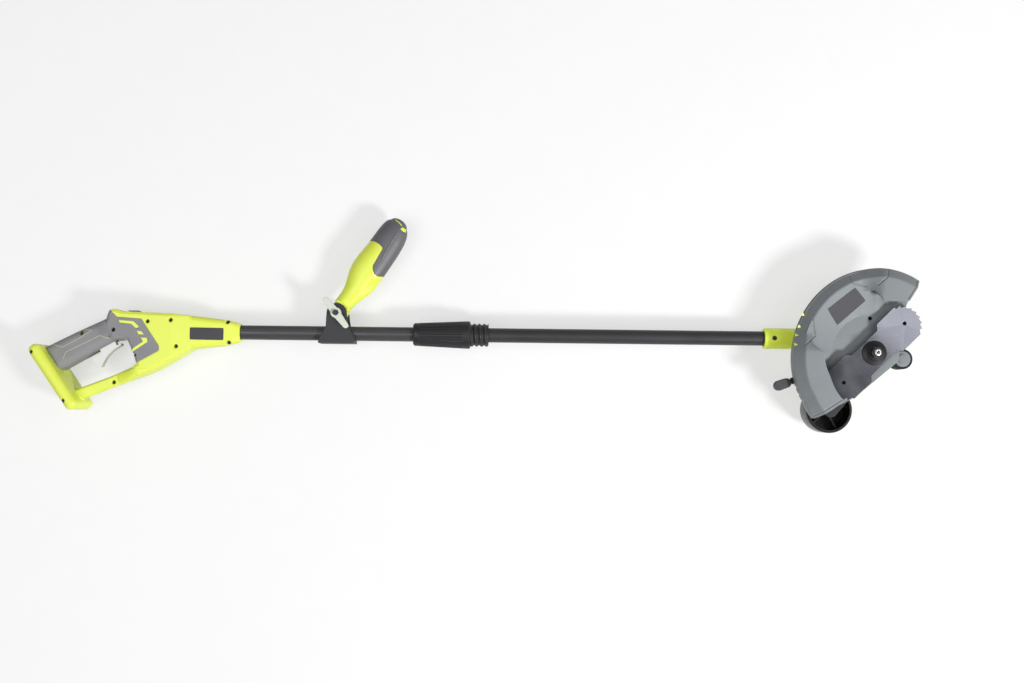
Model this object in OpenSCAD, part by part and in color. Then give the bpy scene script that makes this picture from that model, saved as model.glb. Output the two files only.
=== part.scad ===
// Cordless stick lawn edger, lying on its side with the blade facing up.
// Origin: the blade axis, on the surface that the tool lies on.
// +X runs from the rear handle to the cutting head, +Z is the blade axis.

/* [Shaft] */
// Outer diameter of both shaft tubes
tube_d = 22.2; // [20:0.1:24]
// Wall of both shaft tubes
tube_wall = 1.6; // [1.2:0.1:2.2]
// Height of the shaft axis above the surface
shaft_z = 40; // [38:0.5:44]
// Sideways offset of the shaft axis from the blade axis
shaft_y = 23.5; // [20:0.5:26]
// From the blade axis back to the mouth of the neck
neck_reach = 153; // [145:1:170]
// From the blade axis back to the place where the tubes meet
joint_reach = 642; // [600:1:680]
// From the blade axis back to the nose of the rear handle
nose_reach = 960; // [940:1:1000]
// Depth of the upper tube inside the nose
tube_in_nose = 80; // [60:1:84]
// Depth of the lower tube inside the neck
tube_in_neck = 60; // [45:1:62]
// Number of grooves along the upper tube
flute_count = 10; // [4:1:14]
// Diameter of the groove cutter
flute_d = 2.4; // [1.6:0.1:3]
// Diameter of the power lead inside the shaft
lead_d = 6; // [4:0.5:7]

/* [Rear handle] */
// Wall of the casing
case_wall = 3; // [2.4:0.1:3.6]
// Half width of the casing, measured from its parting plane
case_half = 26; // [24:0.5:30]
// Half width of the grip with its pads
grip_half = 21; // [20:0.5:23]
// Half width of the lower hand bar
bar_half = 10; // [8:0.5:12]
// Half width of the nose at its mouth
nose_half = 15; // [14.5:0.5:18]
// Edge rounding of the casing
case_round = 6; // [3:0.5:8]
// Angle of the grip to the shaft
grip_angle = 28; // [26:0.5:30]
// Thickness of the soft grip pads
pad_t = 2; // [1.5:0.1:2.5]
// Length of the battery flange
flange_l = 116; // [110:1:124]
// Thickness of the battery flange
flange_t = 19; // [16:0.5:22]
// Angle of the flange's inward normal to the shaft
flange_angle = 35; // [32:0.5:38]
// Height of the battery socket across the grip
port_h = 27; // [22:0.5:28]
// Width of the battery socket
port_w = 31; // [26:0.5:32]
// Depth of the battery socket from the grip's rear end
port_depth = 46; // [40:1:48]
// Diameter of a casing screw's head
screw_head_d = 5.8; // [5:0.1:6]
// Diameter of a casing screw's shank
screw_d = 3.2; // [2.6:0.1:3.4]

/* [Controls] */
// Length of the trigger along the grip
trigger_l = 26; // [22:0.5:28]
// Width of the trigger
trigger_w = 12; // [10:0.5:14]
// How far the trigger stands out of the grip
trigger_out = 9; // [7:0.5:11]
// Travel of the trigger
trigger_travel = 5; // [3:0.5:6]
// Length of the lock-off button
button_l = 16; // [12:0.5:18]
// Width of the lock-off button
button_w = 14; // [10:0.5:16]
// Travel of the lock-off button
button_travel = 2; // [1.5:0.1:2.2]

/* [Coupling] */
// Length of the coupling nut
nut_l = 88; // [84:1:96]
// Diameter of the nut's narrow end
nut_d_back = 35; // [33:0.5:38]
// Diameter of the nut's wide end
nut_d_front = 42.4; // [41:0.2:46]
// Number of fine ribs round the nut
nut_ribs = 28; // [16:2:36]
// Pitch of the coarse thread
thread_pitch = 7.6; // [6:0.1:9]
// Crest diameter of the coarse thread
thread_d = 36; // [34:0.2:37]
// Height of a thread ridge
thread_h = 2.2; // [1.6:0.1:2.4]
// Clearance between the two threads
thread_gap = 0.6; // [0.5:0.1:0.8]
// How far the threaded fitting stands out of the nut
thread_show = 28; // [24:1:34]

/* [Front handle] */
// From the blade axis back to the handle's bolt
bolt_reach = 811; // [790:1:840]
// Height of the bolt above the shaft axis
bolt_up = 30.5; // [29:0.5:34]
// Diameter of the bolt
bolt_d = 8; // [6:0.5:9]
// Length of the saddle along the shaft
saddle_l = 56; // [50:1:64]
// Half width of the saddle across the shaft
saddle_half = 18; // [17:0.5:20]
// Thickness of each ear of the saddle
ear_t = 5.6; // [5:0.1:6]
// Angle of the front handle to the shaft
handle_angle = 55.5; // [45:0.5:65]
// Thickness of the front handle's soft grip
sleeve_t = 2.5; // [1.5:0.1:3]
// Tip-to-tip length of the wing knob
knob_l = 58; // [50:1:64]
// Angle of the wing knob to the shaft
knob_angle = -52; // [-60:1:-40]

/* [Cutting head] */
// Radius of the head casing round the spindle
head_r = 36; // [35:0.5:38]
// Wall of the head casing
head_wall = 3.5; // [3:0.1:4]
// Height of the head casing's flat top
head_top = 72; // [71:0.5:75]
// Diameter of the neck
neck_d = 32; // [30:0.5:36]
// Radius of the boss that carries the depth arm
boss_r = 20; // [19:0.5:22]
// Height of the boss
boss_h = 12; // [11:0.5:14]
// Diameter of the motor can
motor_d = 44; // [40:0.5:46]
// Length of the motor can
motor_l = 39; // [34:1:40]
// Diameter of the motor shaft
motor_shaft_d = 5; // [4:0.5:6]
// Tooth module of the gear pair
gear_module = 1.5; // [1.4:0.05:1.55]
// Teeth on the motor pinion
pinion_teeth = 14; // [13:1:15]
// Teeth on the spindle gear
gear_teeth = 36; // [33:1:36]
// Face width of the gears
gear_w = 10; // [8:0.5:10.5]
// Diameter of the spindle in its upper bearing
spindle_d = 12; // [11:0.5:13]
// Diameter of the arbor through the blade
arbor_d = 10; // [8:0.5:10.5]

/* [Blade] */
// Height of the blade's underside above the surface
blade_z = 98.5; // [97:0.5:101]
// Thickness of the blade
blade_t = 3; // [2:0.1:3.5]
// Radius of the blade's tips
blade_r = 89; // [84:0.5:91]
// Width of the blade's heads
blade_head_w = 56; // [50:0.5:58]
// Width of the blade's waist
blade_waist_w = 42; // [38:0.5:46]
// Length of the waist
blade_waist_l = 62; // [54:1:70]
// Angle of the blade as it lies
blade_angle = 44.5; // [40:0.5:48]
// Diameter of the bell-shaped outer flange
bell_d = 37; // [34:0.5:42]

/* [Guard] */
// Outer radius of the guard's rim
guard_r = 124; // [122:0.5:130]
// Wall of the guard
guard_wall = 3; // [2.5:0.1:3.5]
// Angle at which the guard begins
guard_start = 57.5; // [55:0.5:64]
// Angle at which the guard ends
guard_end = 228; // [222:0.5:230]
// Height of the guard's front face at its ends
face_z = 114; // [112:0.5:118]
// How far the front face dips in the middle
face_dip = 14; // [12:0.5:15]
// Inner radius of the front bands that cover the blade tips
band_r = 77; // [74:0.5:82]
// Radial width of the sloped rim
bevel_w = 15; // [10:0.5:16]
// Height of the sloped rim
bevel_h = 16; // [12:0.5:17]
// Height of the rim's back edge above the surface
rim_back = 80; // [79.5:0.5:81]
// Distance from the blade axis to the straight edge of the back plate
chord_in = 35; // [33:0.5:38]

/* [Wheels] */
// Diameter of the rear wheel
wheel_d = 70; // [64:1:74]
// Width of the rear wheel
wheel_w = 44; // [38:1:46]
// Distance from the blade axis to the wheel's axle
arm_l = 104; // [100:0.5:110]
// Angle of the wheel arm
arm_angle = 235.5; // [232:0.5:240]
// Angle of the depth lever
lever_angle = 200; // [198:0.5:204]
// Length of the lever from the blade axis
lever_l = 153.5; // [148:0.5:162]
// Diameter of the wheel axle
axle_d = 10; // [8:0.5:12]
// Diameter of the front roller
roller_d = 31; // [28:0.5:34]
// Length of the front roller
roller_l = 30; // [24:1:32]
// Diameter of the roller's pin
roller_pin_d = 8; // [6:0.5:10]

/* [Fits] */
// Radial clearance of turning and sliding fits
run_fit = 0.05; // [0.03:0.01:0.08]
// Gap between neighbouring pieces that do not touch
gap = 0.3; // [0.2:0.05:0.5]

/* [Hidden] */
$fn = 64;

lime = [0.74, 0.87, 0.12];
soft_grey = [0.36, 0.36, 0.37];
guard_grey = [0.42, 0.44, 0.44];
black = [0.09, 0.09, 0.10];
steel = [0.68, 0.69, 0.70];
pale = [0.80, 0.81, 0.78];
brass = [0.80, 0.66, 0.30];
copper_red = [0.55, 0.30, 0.20];

tube_r = tube_d / 2;
bore_r = tube_r + run_fit;
slip = 2 * run_fit;
tall = 200;

// Shaft helpers
module along_shaft(x) translate([x, shaft_y, shaft_z]) rotate([0, 90, 0]) children();
module rod(x0, x1, r) along_shaft(x0) cylinder(r = r, h = x1 - x0);

// A tube of round section swept along points, its rings turned to face along the path
function unit(v) = v / norm(v);
function path_dir(p, i) = unit(p[min(i + 1, len(p) - 1)] - p[max(i - 1, 0)]);
function ring(p, i, r, n, ref) =
    let (t = path_dir(p, i), u = unit(cross(ref, t)), w = cross(t, u))
    [for (k = [0 : n - 1]) p[i] + r * (cos(360 * k / n) * u + sin(360 * k / n) * w)];
function strip(rings, n) =
    [for (i = [0 : rings - 2]) for (k = [0 : n - 1]) let (a = i * n + k, b = i * n + (k + 1) % n)
        each [[a, b + n, b], [a, a + n, b + n]]];
function fan(first, n, up) =
    [for (k = [1 : n - 2]) up ? [first, first + k + 1, first + k] : [first, first + k, first + k + 1]];
module sweep(p, r, n, ref) {
    m = len(p);
    points = [for (i = [0 : m - 1]) each ring(p, i, r, n, ref)];
    polyhedron(points, concat(strip(m, n), fan(0, n, false), fan((m - 1) * n, n, true)));
}

// A spring of round wire, wound about its own Z axis
module spring(coil_r, wire_r, length, curls) {
    steps = 8 * curls;
    rise = length - 2 * wire_r;
    p = [for (i = [0 : steps])
        [coil_r * cos(45 * i), coil_r * sin(45 * i), wire_r + rise * i / steps]];
    sweep(p, wire_r, 6, [0, 0, 1]);
}

// An extruded outline whose outer edge is rounded in steps, reaching a little below its base plane
sink = 2;
module slab(h, r, steps = 2) {
    translate([0, 0, -sink]) linear_extrude(h - r + sink) children();
    for (i = [1 : steps]) {
        inset = r * (1 - cos(90 * (i - 0.5) / steps));
        translate([0, 0, -sink]) linear_extrude(h - r + r * sin(90 * i / steps) + sink)
            offset(delta = -inset) children();
    }
}
module soften(r) offset(r = r, $fn = 16) offset(delta = -r) children();

// A convex outline raised to a rounded bar
module rounded_bar(h, r) hull() {
    steps = 5;
    translate([0, 0, -sink]) linear_extrude(h - r + sink) children();
    for (i = [1 : steps]) translate([0, 0, h - r + r * sin(90 * i / steps) - 0.02])
        linear_extrude(0.02) offset(delta = -r * (1 - cos(90 * i / steps))) children();
}
module above_parting() difference() {
    children();
    translate([-400, -400, -100]) cube([800, 800, 100]);
}

// An outline drawn tightly round two circles
function arc_points(c, r, a0, a1, n) =
    [for (i = [0 : n]) let (a = a0 + (a1 - a0) * i / n) c + r * [cos(a), sin(a)]];
function belt(c1, r1, c2, r2) =
    let (d = c2 - c1, a = atan2(d[1], d[0]), b = acos((r1 - r2) / norm(d)))
    concat(arc_points(c1, r1, a + b, a + 360 - b, 20), arc_points(c2, r2, a - b, a + b, 12));

// Rear handle: its frame has the nose's mouth on the shaft axis at the origin
grip_x = -284.5;
grip_y = -44.5;
grip_l = 104;
grip_rear_half = 21.5;
grip_front_half = 18;
flange_x = -284.2;
flange_y = -77.7;
case_back = -98;
case_front = -72.7;
core_half = grip_half - pad_t;
grip_round = 12;
module at_handle() translate([-nose_reach, shaft_y, shaft_z]) children();
module at_grip() translate([grip_x, grip_y, 0]) rotate([0, 0, grip_angle]) children();
module at_flange() translate([flange_x, flange_y, 0]) rotate([0, 0, flange_angle]) children();
module case_outline() soften(3)
    polygon([[-204, 5], [-201, 21], [-197.5, 31], [-190.5, 33.5], [-177, 29.5], [case_back, 26.7],
             [case_front, 23.5], [case_front, -26.5], [-127, -59], [-153, -70.5], [-161, -53.5],
             [-154, -51.5], [-160, -33], [-168.5, -15], [-176, -12.2], [-192, -15]]);
module grip_outline()
    polygon([[-4, -grip_rear_half], [grip_l, -grip_front_half], [grip_l, grip_front_half],
             [50, grip_front_half + 2.5], [-4, grip_rear_half]]);
module bar_outline() soften(2)
    polygon([[-264, -94], [-249, -90.5], [-197.5, -70.5], [-158, -52.5], [-148, -68], [-174, -79],
             [-239, -104.5], [-260, -113]]);
module flange_outline() soften(8)
    translate([0, -flange_l / 2]) square([flange_t, flange_l]);
module panel_outline()
    polygon([[-190.6, 26], [-184.5, 20.3], [-147, 17.8], [-119.3, -23.5], [-119.1, -30.6],
             [-153.6, -50], [-159.8, -32.8], [-168.5, -14.2], [-192, -15], [-204, 5]]);
module panel_stripes() {
    polygon([[-181.3, 15], [-160, 13.2], [-150, 5], [-153, 2], [-161, 9.5], [-180, 11.5]]);
    polygon([[-155.5, -0.5], [-148, -3.5], [-144, -7.5], [-152, -5]]);
    polygon([[-147, -10.5], [-139, -12], [-138.5, -17], [-160, -33], [-158, -28], [-143.5, -16.5]]);
}

// Nose: blends the casing into a round mouth on the tube
nose_sections = [[case_back - 4, 27, -30, case_half], [-18, 18, -20, nose_half + 4],
                 [-3, 14, -15, nose_half], [0, 12, -13.5, nose_half - 1]];
nose_fall = atan((nose_sections[0][3] - nose_sections[1][3]) / (nose_sections[1][0] - nose_sections[0][0]));
module above_nose() translate([nose_sections[0][0], -80, nose_sections[0][3]]) rotate([0, nose_fall, 0])
    cube([80, 160, 40]);
module nose_solid() {
    corner = 8;
    hull() for (s = nose_sections) translate([s[0], 0, 0]) rotate([0, 90, 0])
        for (y = [s[1] - corner, s[2] + corner]) for (z = [s[3] - corner, corner - s[3]])
            translate([z, y, 0]) cylinder(r = corner, h = 0.5, $fn = 24);
}

// Casing screws: place along and across the shaft, seat of the head above the parting plane
case_screws = [[-240, -5, 12], [-189.5, 0.5, 16], [-156.5, -38, 16], [-138, 14, 16], [-103, 16.5, 16],
               [-94, -23.5, 16], [-18, 14.7, 7], [-16, -16.2, 7], [-191.5, -79.5, 4], [-309, -35, 32],
               [-258.5, -108.5, 32]];
cavity_screws = [for (s = case_screws) if (s[0] > -200 && s[0] < -90 && s[1] > -60) s];
screw_tip = -6;
screw_head_h = 2.4;
post_r = screw_head_d / 2 + 2;
module case_screw(s) translate([s[0], s[1], 0]) {
    translate([0, 0, screw_tip]) cylinder(d = screw_d, h = s[2] - screw_tip);
    translate([0, 0, s[2]]) cylinder(d = screw_head_d, h = screw_head_h);
}
module case_screw_hole(s) translate([s[0], s[1], 0]) {
    translate([0, 0, screw_tip - 1]) cylinder(d = screw_d + slip, h = s[2] - screw_tip + 1);
    translate([0, 0, s[2]]) cylinder(d = screw_head_d + 2 * gap, h = shaft_z);
}

// Places inside the grip, in the grip's own frame: along it, then across it
bay_start = port_depth + 8;
bay_low = -13.5;
bay_high = 11;
bay_half = 15;
trigger_mid = 81;
trigger_seat = bay_low + gap;
trigger_lip = 3.5;
trigger_face = -(grip_front_half + 0.8 + trigger_out);
trigger_rest = -(grip_rear_half + trigger_travel - 1.2);
switch_low = trigger_seat + trigger_lip + trigger_travel + 0.6;
switch_high = 9.5;
switch_start = 62;
switch_end = 98;
spring_pocket_r = 3.4;
spring_foot = trigger_seat - 5;
module grip_box(g0, g1, p0, p1, half)
    translate([g0, p0, -half]) cube([g1 - g0, p1 - p0, 2 * half]);
module trigger_slot()
    at_grip() grip_box(trigger_mid - trigger_l / 2 - gap, trigger_mid + trigger_l / 2 + gap,
                       trigger_face - 5, bay_low + 0.1, trigger_w / 2 + gap);
module port_space()
    at_grip() grip_box(-40, port_depth, -port_h / 2, port_h / 2, port_w / 2);
module bay_space()
    at_grip() grip_box(bay_start, grip_l + 6, bay_low, bay_high, bay_half);

// Lock-off button on top of the casing
button_x = -165;
button_top = 31.6;
button_lip = 2.6;
button_ledge = 25.8;
button_shelf = 12;
module button_slot()
    translate([button_x - button_l / 2 - gap, button_ledge - 0.1, -button_w / 2 - gap])
        cube([button_l + 2 * gap, 12, button_w + 2 * gap]);

cavity_end = -90;
module case_space() {
    difference() {
        union() {
            intersection() {
                translate([0, 0, -1]) linear_extrude(case_half - case_wall + 1)
                    offset(delta = -case_wall) case_outline();
                translate([cavity_end - 130, -80, -2]) cube([130, 130, 60]);
            }
            bay_space();
        }
        for (s = cavity_screws) translate([s[0], s[1], -50]) cylinder(r = post_r, h = 100);
        translate([button_x - 12, button_shelf - 2, -50]) cube([24, 2, 100]);
    }
}
module case_slab() slab(case_half, case_round) case_outline();
module flange_solid() slab(shaft_z, 8, 4) at_flange() flange_outline();
module grip_core() at_grip() rounded_bar(core_half, grip_round - pad_t) offset(delta = -pad_t) grip_outline();
module bar_fairing() hull() {
    slab(bar_half, 4) polygon([[-190, -68], [-184, -65], [-178, -80.5], [-184, -83]]);
    slab(case_half - 2, 6) polygon([[-157, -54], [-140, -56], [-136, -62], [-152, -69.5]]);
}
module housing_half() above_parting() {
    difference() {
        union() {
            difference() {
                case_slab();
                above_nose();
            }
            nose_solid();
            slab(bar_half, 4) bar_outline();
            bar_fairing();
            flange_solid();
            grip_core();
        }
        case_space();
        port_space();
        trigger_slot();
        button_slot();
        translate([cavity_end - 2, 0, 0]) rotate([0, 90, 0]) cylinder(r = bore_r, h = tall);
        translate([0, 0, case_half - 1.2]) linear_extrude(10) panel_outline();
        for (s = case_screws) case_screw_hole(s);
    }
}
module housing_near() color(lime) at_handle() housing_half();
module housing_far() color(lime) at_handle() mirror([0, 0, 1]) difference() {
    housing_half();
    mirror([0, 0, 1]) for (s = case_screws) case_screw_hole(s);
}

// Soft pads: a skin round the grip and an inlaid panel on the casing's side
module grip_pad_half() {
    above_parting() difference() {
        at_grip() rounded_bar(grip_half, grip_round) grip_outline();
        grip_core();
        case_slab();
        flange_solid();
        trigger_slot();
        port_space();
        for (s = case_screws) case_screw_hole(s);
    }
    difference() {
        intersection() {
            translate([0, 0, case_half - 1.2]) linear_extrude(1.8) panel_outline();
            slab(case_half + 0.6, case_round) case_outline();
        }
        translate([0, 0, case_half - 2]) linear_extrude(10) panel_stripes();
        for (s = case_screws) case_screw_hole(s);
    }
}
module grip_pad_near() color(soft_grey) at_handle() grip_pad_half();
module grip_pad_far() color(soft_grey) at_handle() mirror([0, 0, 1]) difference() {
    grip_pad_half();
    mirror([0, 0, 1]) for (s = case_screws) case_screw_hole(s);
}
module housing_screws() color(black) at_handle() for (s = case_screws) case_screw(s);

// Trigger: a blade that sweeps down to a hooked toe, guided by a block in the grip's slot
toe_start = 59;
toe_end = 101;
toe_drop = 16;
heel = [[52, trigger_rest], [50.5, -32], [52.5, -39.5], [56, -43.3]];
function trigger_sweep(g) = trigger_face - toe_drop * pow((toe_end - g) / (toe_end - toe_start), 2.4);
module trigger() color(pale) at_handle() at_grip() difference() {
    union() {
        translate([0, 0, -trigger_w / 2]) linear_extrude(trigger_w)
            polygon(concat(heel, [for (g = [toe_start : 3 : toe_end]) [g, trigger_sweep(g)]],
                           [[toe_end, trigger_rest]]));
        grip_box(trigger_mid - trigger_l / 2, trigger_mid + trigger_l / 2,
                 trigger_rest - 1, trigger_seat + trigger_lip, trigger_w / 2);
        grip_box(trigger_mid - trigger_l / 2 - 3, trigger_mid + trigger_l / 2 + 3,
                 trigger_seat, trigger_seat + trigger_lip, trigger_w / 2);
    }
    translate([trigger_mid, spring_foot, 0]) rotate([-90, 0, 0])
        cylinder(r = spring_pocket_r, h = 30);
}
module trigger_spring() color(steel) at_handle() at_grip()
    translate([trigger_mid, spring_foot, 0]) rotate([-90, 0, 0])
    spring(2.6, 0.4, switch_low - spring_foot, 5);
module switch_module() color(black) at_handle() at_grip() {
    grip_box(switch_start, switch_end, switch_low, switch_high, 11);
    grip_box(switch_start + 4, switch_end - 6, switch_high, bay_high, 7);
}
module lock_button() color(black) at_handle() {
    translate([button_x - button_l / 2, button_ledge - button_lip, -button_w / 2])
        cube([button_l, button_top - button_ledge + button_lip, button_w]);
    translate([button_x - button_l / 2 - 2.5, button_ledge - button_lip - gap, -button_w / 2])
        cube([button_l + 5, button_lip, button_w]);
}
module lock_spring() color(steel) at_handle()
    translate([button_x, button_shelf, 0]) rotate([-90, 0, 0])
    spring(3, 0.4, button_ledge - button_lip - gap - button_shelf, 4);
module terminal_block() color(black) at_handle() at_grip()
    grip_box(port_depth - 8, port_depth, -port_h / 2, port_h / 2, port_w / 2);
module battery_contacts() color(brass) at_handle() at_grip()
    for (z = [-9, 0, 9]) translate([0, 0, z])
        grip_box(port_depth - 22, port_depth - 8, -4, 4, 0.5);

// Shaft tubes and the lead inside them
upper_start = -nose_reach - tube_in_nose;
upper_end = -joint_reach - gap;
lower_end = -neck_reach + tube_in_neck;
module upper_tube() color(black) difference() {
    rod(upper_start, upper_end, tube_r);
    rod(upper_start - 1, upper_end + 1, tube_r - tube_wall);
    for (i = [0 : flute_count - 1]) along_shaft(upper_start - 1) rotate([0, 0, 360 * (i + 0.5) / flute_count])
        translate([tube_r + flute_d / 4, 0, 0])
        cylinder(d = flute_d, h = nose_reach + tube_in_nose - joint_reach + 2, $fn = 24);
}
module lower_tube() color(black) difference() {
    rod(-joint_reach, lower_end, tube_r);
    rod(-joint_reach - 1, lower_end + 1, tube_r - tube_wall);
    neck_screw_hole();
}
plug_l = 26;
plug_r = tube_r - tube_wall - run_fit;
pin_l = 8;
upper_lead_bends = [[-200, 5.6], [-194.5, 8.2], [-188.5, 9], [-182, 7.8], [-176, 6], [-162, 3], [-146, 1],
                    [-132, 0.2], [-116, 0]];
lower_lead_bends = [[-87, 23.5, 39.5], [-79, 22.5, 35.5], [-73, 21, 29], [-69, 19, 22], [-66, 17.5, 15],
                    [-62, 16.5, 9.5], [-57, 16, 7]];
module upper_lead() color(copper_red) {
    bends = [for (p = upper_lead_bends) [p[0] - nose_reach, p[1] + shaft_y, shaft_z]];
    sweep(concat(bends, [[-joint_reach - plug_l, shaft_y, shaft_z]]), lead_d / 2, 8, [0, 0, 1]);
}
module lower_lead() color(copper_red) {
    lift = [0, shaft_y - 23.5, shaft_z - 40];
    bends = [for (i = [0 : len(lower_lead_bends) - 1]) lower_lead_bends[i] + (i < 3 ? lift : [0, 0, 0])];
    start = [[-joint_reach + plug_l, shaft_y, shaft_z], [lower_end, shaft_y, shaft_z]];
    sweep(concat(start, bends), lead_d / 2, 8, [0, 1, 0]);
}
module lead_plug() color(black) {
    rod(-joint_reach - plug_l, -joint_reach - gap, plug_r);
    for (y = [-3, 3]) translate([0, y, 0]) rod(-joint_reach - gap - 1, -joint_reach + pin_l, 1);
}
module lead_socket() color(black) difference() {
    rod(-joint_reach, -joint_reach + plug_l, plug_r);
    for (y = [-3, 3]) translate([0, y, 0]) rod(-joint_reach - 1, -joint_reach + pin_l + gap, 1 + gap);
}

// Coupling: a nut on the upper tube draws a collar against the lower tube's threaded fitting
nut_start = -joint_reach - 52;
nut_end = nut_start + nut_l;
fitting_start = -joint_reach - 13;
fitting_end = nut_end + thread_show;
thread_start = -joint_reach + 22;
nut_bore_r = nut_d_back / 2 - 2.2;
collar_l = 5;
collar_r = nut_bore_r - 0.4;
ring_l = 4;
nut_lip = 8;
thread_core_r = (thread_d - thread_h) / 2;
module thread_solid(x0, x1, r) {
    n = 20;
    turn = 360 / thread_pitch;
    m = ceil(8 * (x1 - x0) / thread_pitch);
    points = [for (i = [0 : m]) let (x = (x1 - x0) * i / m, a = turn * (x0 + x - fitting_start)) each
        [for (k = [0 : n - 1])
            [thread_h / 2 * cos(a) + r * cos(360 * k / n), thread_h / 2 * sin(a) + r * sin(360 * k / n), x]]];
    along_shaft(x0) polyhedron(points, concat(strip(m + 1, n), fan(0, n, false), fan(m * n, n, true)));
}
module coupling_collar() color(black) difference() {
    rod(fitting_start - collar_l, fitting_start, collar_r);
    rod(fitting_start - collar_l - 1, fitting_start + 1, bore_r);
}
module coupling_fitting() color(black) difference() {
    union() {
        rod(fitting_start, thread_start + 1, collar_r);
        thread_solid(thread_start, fitting_end, thread_core_r);
    }
    rod(fitting_start - 1, fitting_end + 1, bore_r);
}
module coupling_nut() color(black) difference() {
    along_shaft(nut_start) rotate_extrude()
        polygon([[0, 0], [nut_d_back / 2 - 2, 0], [nut_d_back / 2, 2], [nut_d_front / 2, nut_l - 6],
                 [nut_d_front / 2, nut_l - 1.5], [nut_d_front / 2 - 1.5, nut_l], [0, nut_l]]);
    rod(nut_start - 1, nut_end + 1, tube_r + 0.35);
    rod(nut_start + nut_lip, -joint_reach + 2, nut_bore_r);
    thread_solid(-joint_reach + 1, nut_end + 1, thread_core_r + thread_gap);
    for (i = [0 : nut_ribs - 1]) along_shaft(nut_start) rotate([0, 0, 360 * i / nut_ribs])
        translate([nut_d_back / 2 + 0.7, 0, 10])
        rotate([0, atan((nut_d_front - nut_d_back) / 2 / (nut_l - 8)), 0])
        cylinder(r = 1, h = nut_l - 22, $fn = 16);
}
module slip_ring() color(steel) difference() {
    rod(nut_start + nut_lip + gap, nut_start + nut_lip + gap + ring_l, nut_bore_r - run_fit);
    rod(nut_start, nut_start + nut_lip + 20, bore_r);
}

// Front handle on its saddle bracket
slot_half = saddle_half - ear_t;
root_half = slot_half - gap;
saddle_low = tube_r + 4.4;
ear_r = 15.5;
root_r = 13;
module at_bolt() translate([-bolt_reach, shaft_y + bolt_up, shaft_z]) children();
module bracket_outline() {
    base = -bolt_up - saddle_low;
    side = saddle_l / 2;
    circle(r = ear_r);
    polygon([[-side, base], [side, base], [side, base + 9.5], [ear_r + 4, base + 23], [ear_r + 1, base + 35],
             [ear_r, 0], [-ear_r, 0], [-ear_r - 1, base + 24.5], [2 - side, base + 9]]);
}
module handle_bracket() color(black) difference() {
    at_bolt() translate([0, 0, -saddle_half]) linear_extrude(2 * saddle_half) bracket_outline();
    rod(-bolt_reach - saddle_l, -bolt_reach + saddle_l, bore_r);
    at_bolt() translate([-60, tube_r + 2 - bolt_up, -slot_half]) cube([120, 80, 2 * slot_half]);
    at_bolt() translate([-60, -bolt_up, -1.5]) cube([120, 60, 3]);
    at_bolt() translate([0, 0, -50]) cylinder(r = bolt_d / 2 + run_fit, h = 100);
}
bolt_head_h = 5;
knob_low = saddle_half + gap;
knob_h = 11;
module handle_bolt() color(black) at_bolt() {
    translate([0, 0, -saddle_half]) cylinder(d = bolt_d, h = 2 * saddle_half + knob_h + 4);
    translate([0, 0, -saddle_half - bolt_head_h]) cylinder(r1 = bolt_d * 0.7, r2 = bolt_d, h = bolt_head_h);
}
module wing_knob() color(pale) at_bolt() translate([0, 0, knob_low]) rotate([0, 0, knob_angle])
    difference() {
        union() {
            cylinder(r = 8, h = knob_h);
            for (side = [0, 180]) rotate([0, 0, side]) translate([0, 0, 3]) linear_extrude(knob_h - 3)
                hull() {
                    circle(r = 6.5, $fn = 32);
                    translate([knob_l / 2 - 4.2, 0]) circle(r = 4.2, $fn = 32);
                }
        }
        translate([0, 0, -1]) cylinder(r = bolt_d / 2 + run_fit, h = 40);
    }

// Front handle sections: distance from the bolt, offset across, half width, half thickness
handle_sections = [[13, -2, 14, 11.5], [40, 0.9, 16.7, 12], [55, 1.1, 22.6, 15], [70, -1.3, 25.6, 17.5],
                   [90, -2, 25.8, 18], [122, -0.9, 24.2, 18], [150, -2, 22.8, 17],
                   [163, -3.4, 19.1, 14.6], [171, -3.9, 13.5, 10], [175, -3.6, 7, 5]];
sleeve_right = 88;
sleeve_left = 122;
function section_ring(s, inset, n) =
    [for (k = [0 : n - 1]) let (a = 360 * k / n)
        [s[0], s[1] + (s[2] - inset) * cos(a), (s[3] - inset) * sin(a)]];
module handle_loft(inset) {
    n = 20;
    m = len(handle_sections);
    tip = handle_sections[m - 1];
    rows = [for (s = handle_sections) section_ring(s[0] == tip[0] ? s - [inset, 0, 0, 0] : s, inset, n)];
    polyhedron([for (r = rows) each r], concat(strip(m, n), fan(0, n, false), fan((m - 1) * n, n, true)));
}
module sleeve_zone() translate([0, 0, -40]) {
    translate([sleeve_left, -60, 0]) cube([100, 120, 80]);
    translate([sleeve_right, -60, 0]) cube([100, 58, 80]);
}
module at_front_handle() at_bolt() rotate([0, 0, handle_angle]) mirror([0, 1, 0]) children();
module handle_core() color(lime) at_front_handle() difference() {
    union() {
        difference() {
            handle_loft(0);
            mirror([0, 1, 0]) sleeve_zone();
        }
        handle_loft(sleeve_t);
        translate([0, 0, -root_half]) cylinder(r = root_r, h = 2 * root_half);
        translate([0, -root_r, -root_half]) cube([16, 2 * root_r - 2, 2 * root_half]);
    }
    translate([0, 0, -50]) cylinder(r = bolt_d / 2 + run_fit, h = 100);
}
module handle_grip() color(soft_grey) at_front_handle() difference() {
    intersection() {
        handle_loft(0);
        mirror([0, 1, 0]) sleeve_zone();
    }
    handle_loft(sleeve_t);
}

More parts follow.
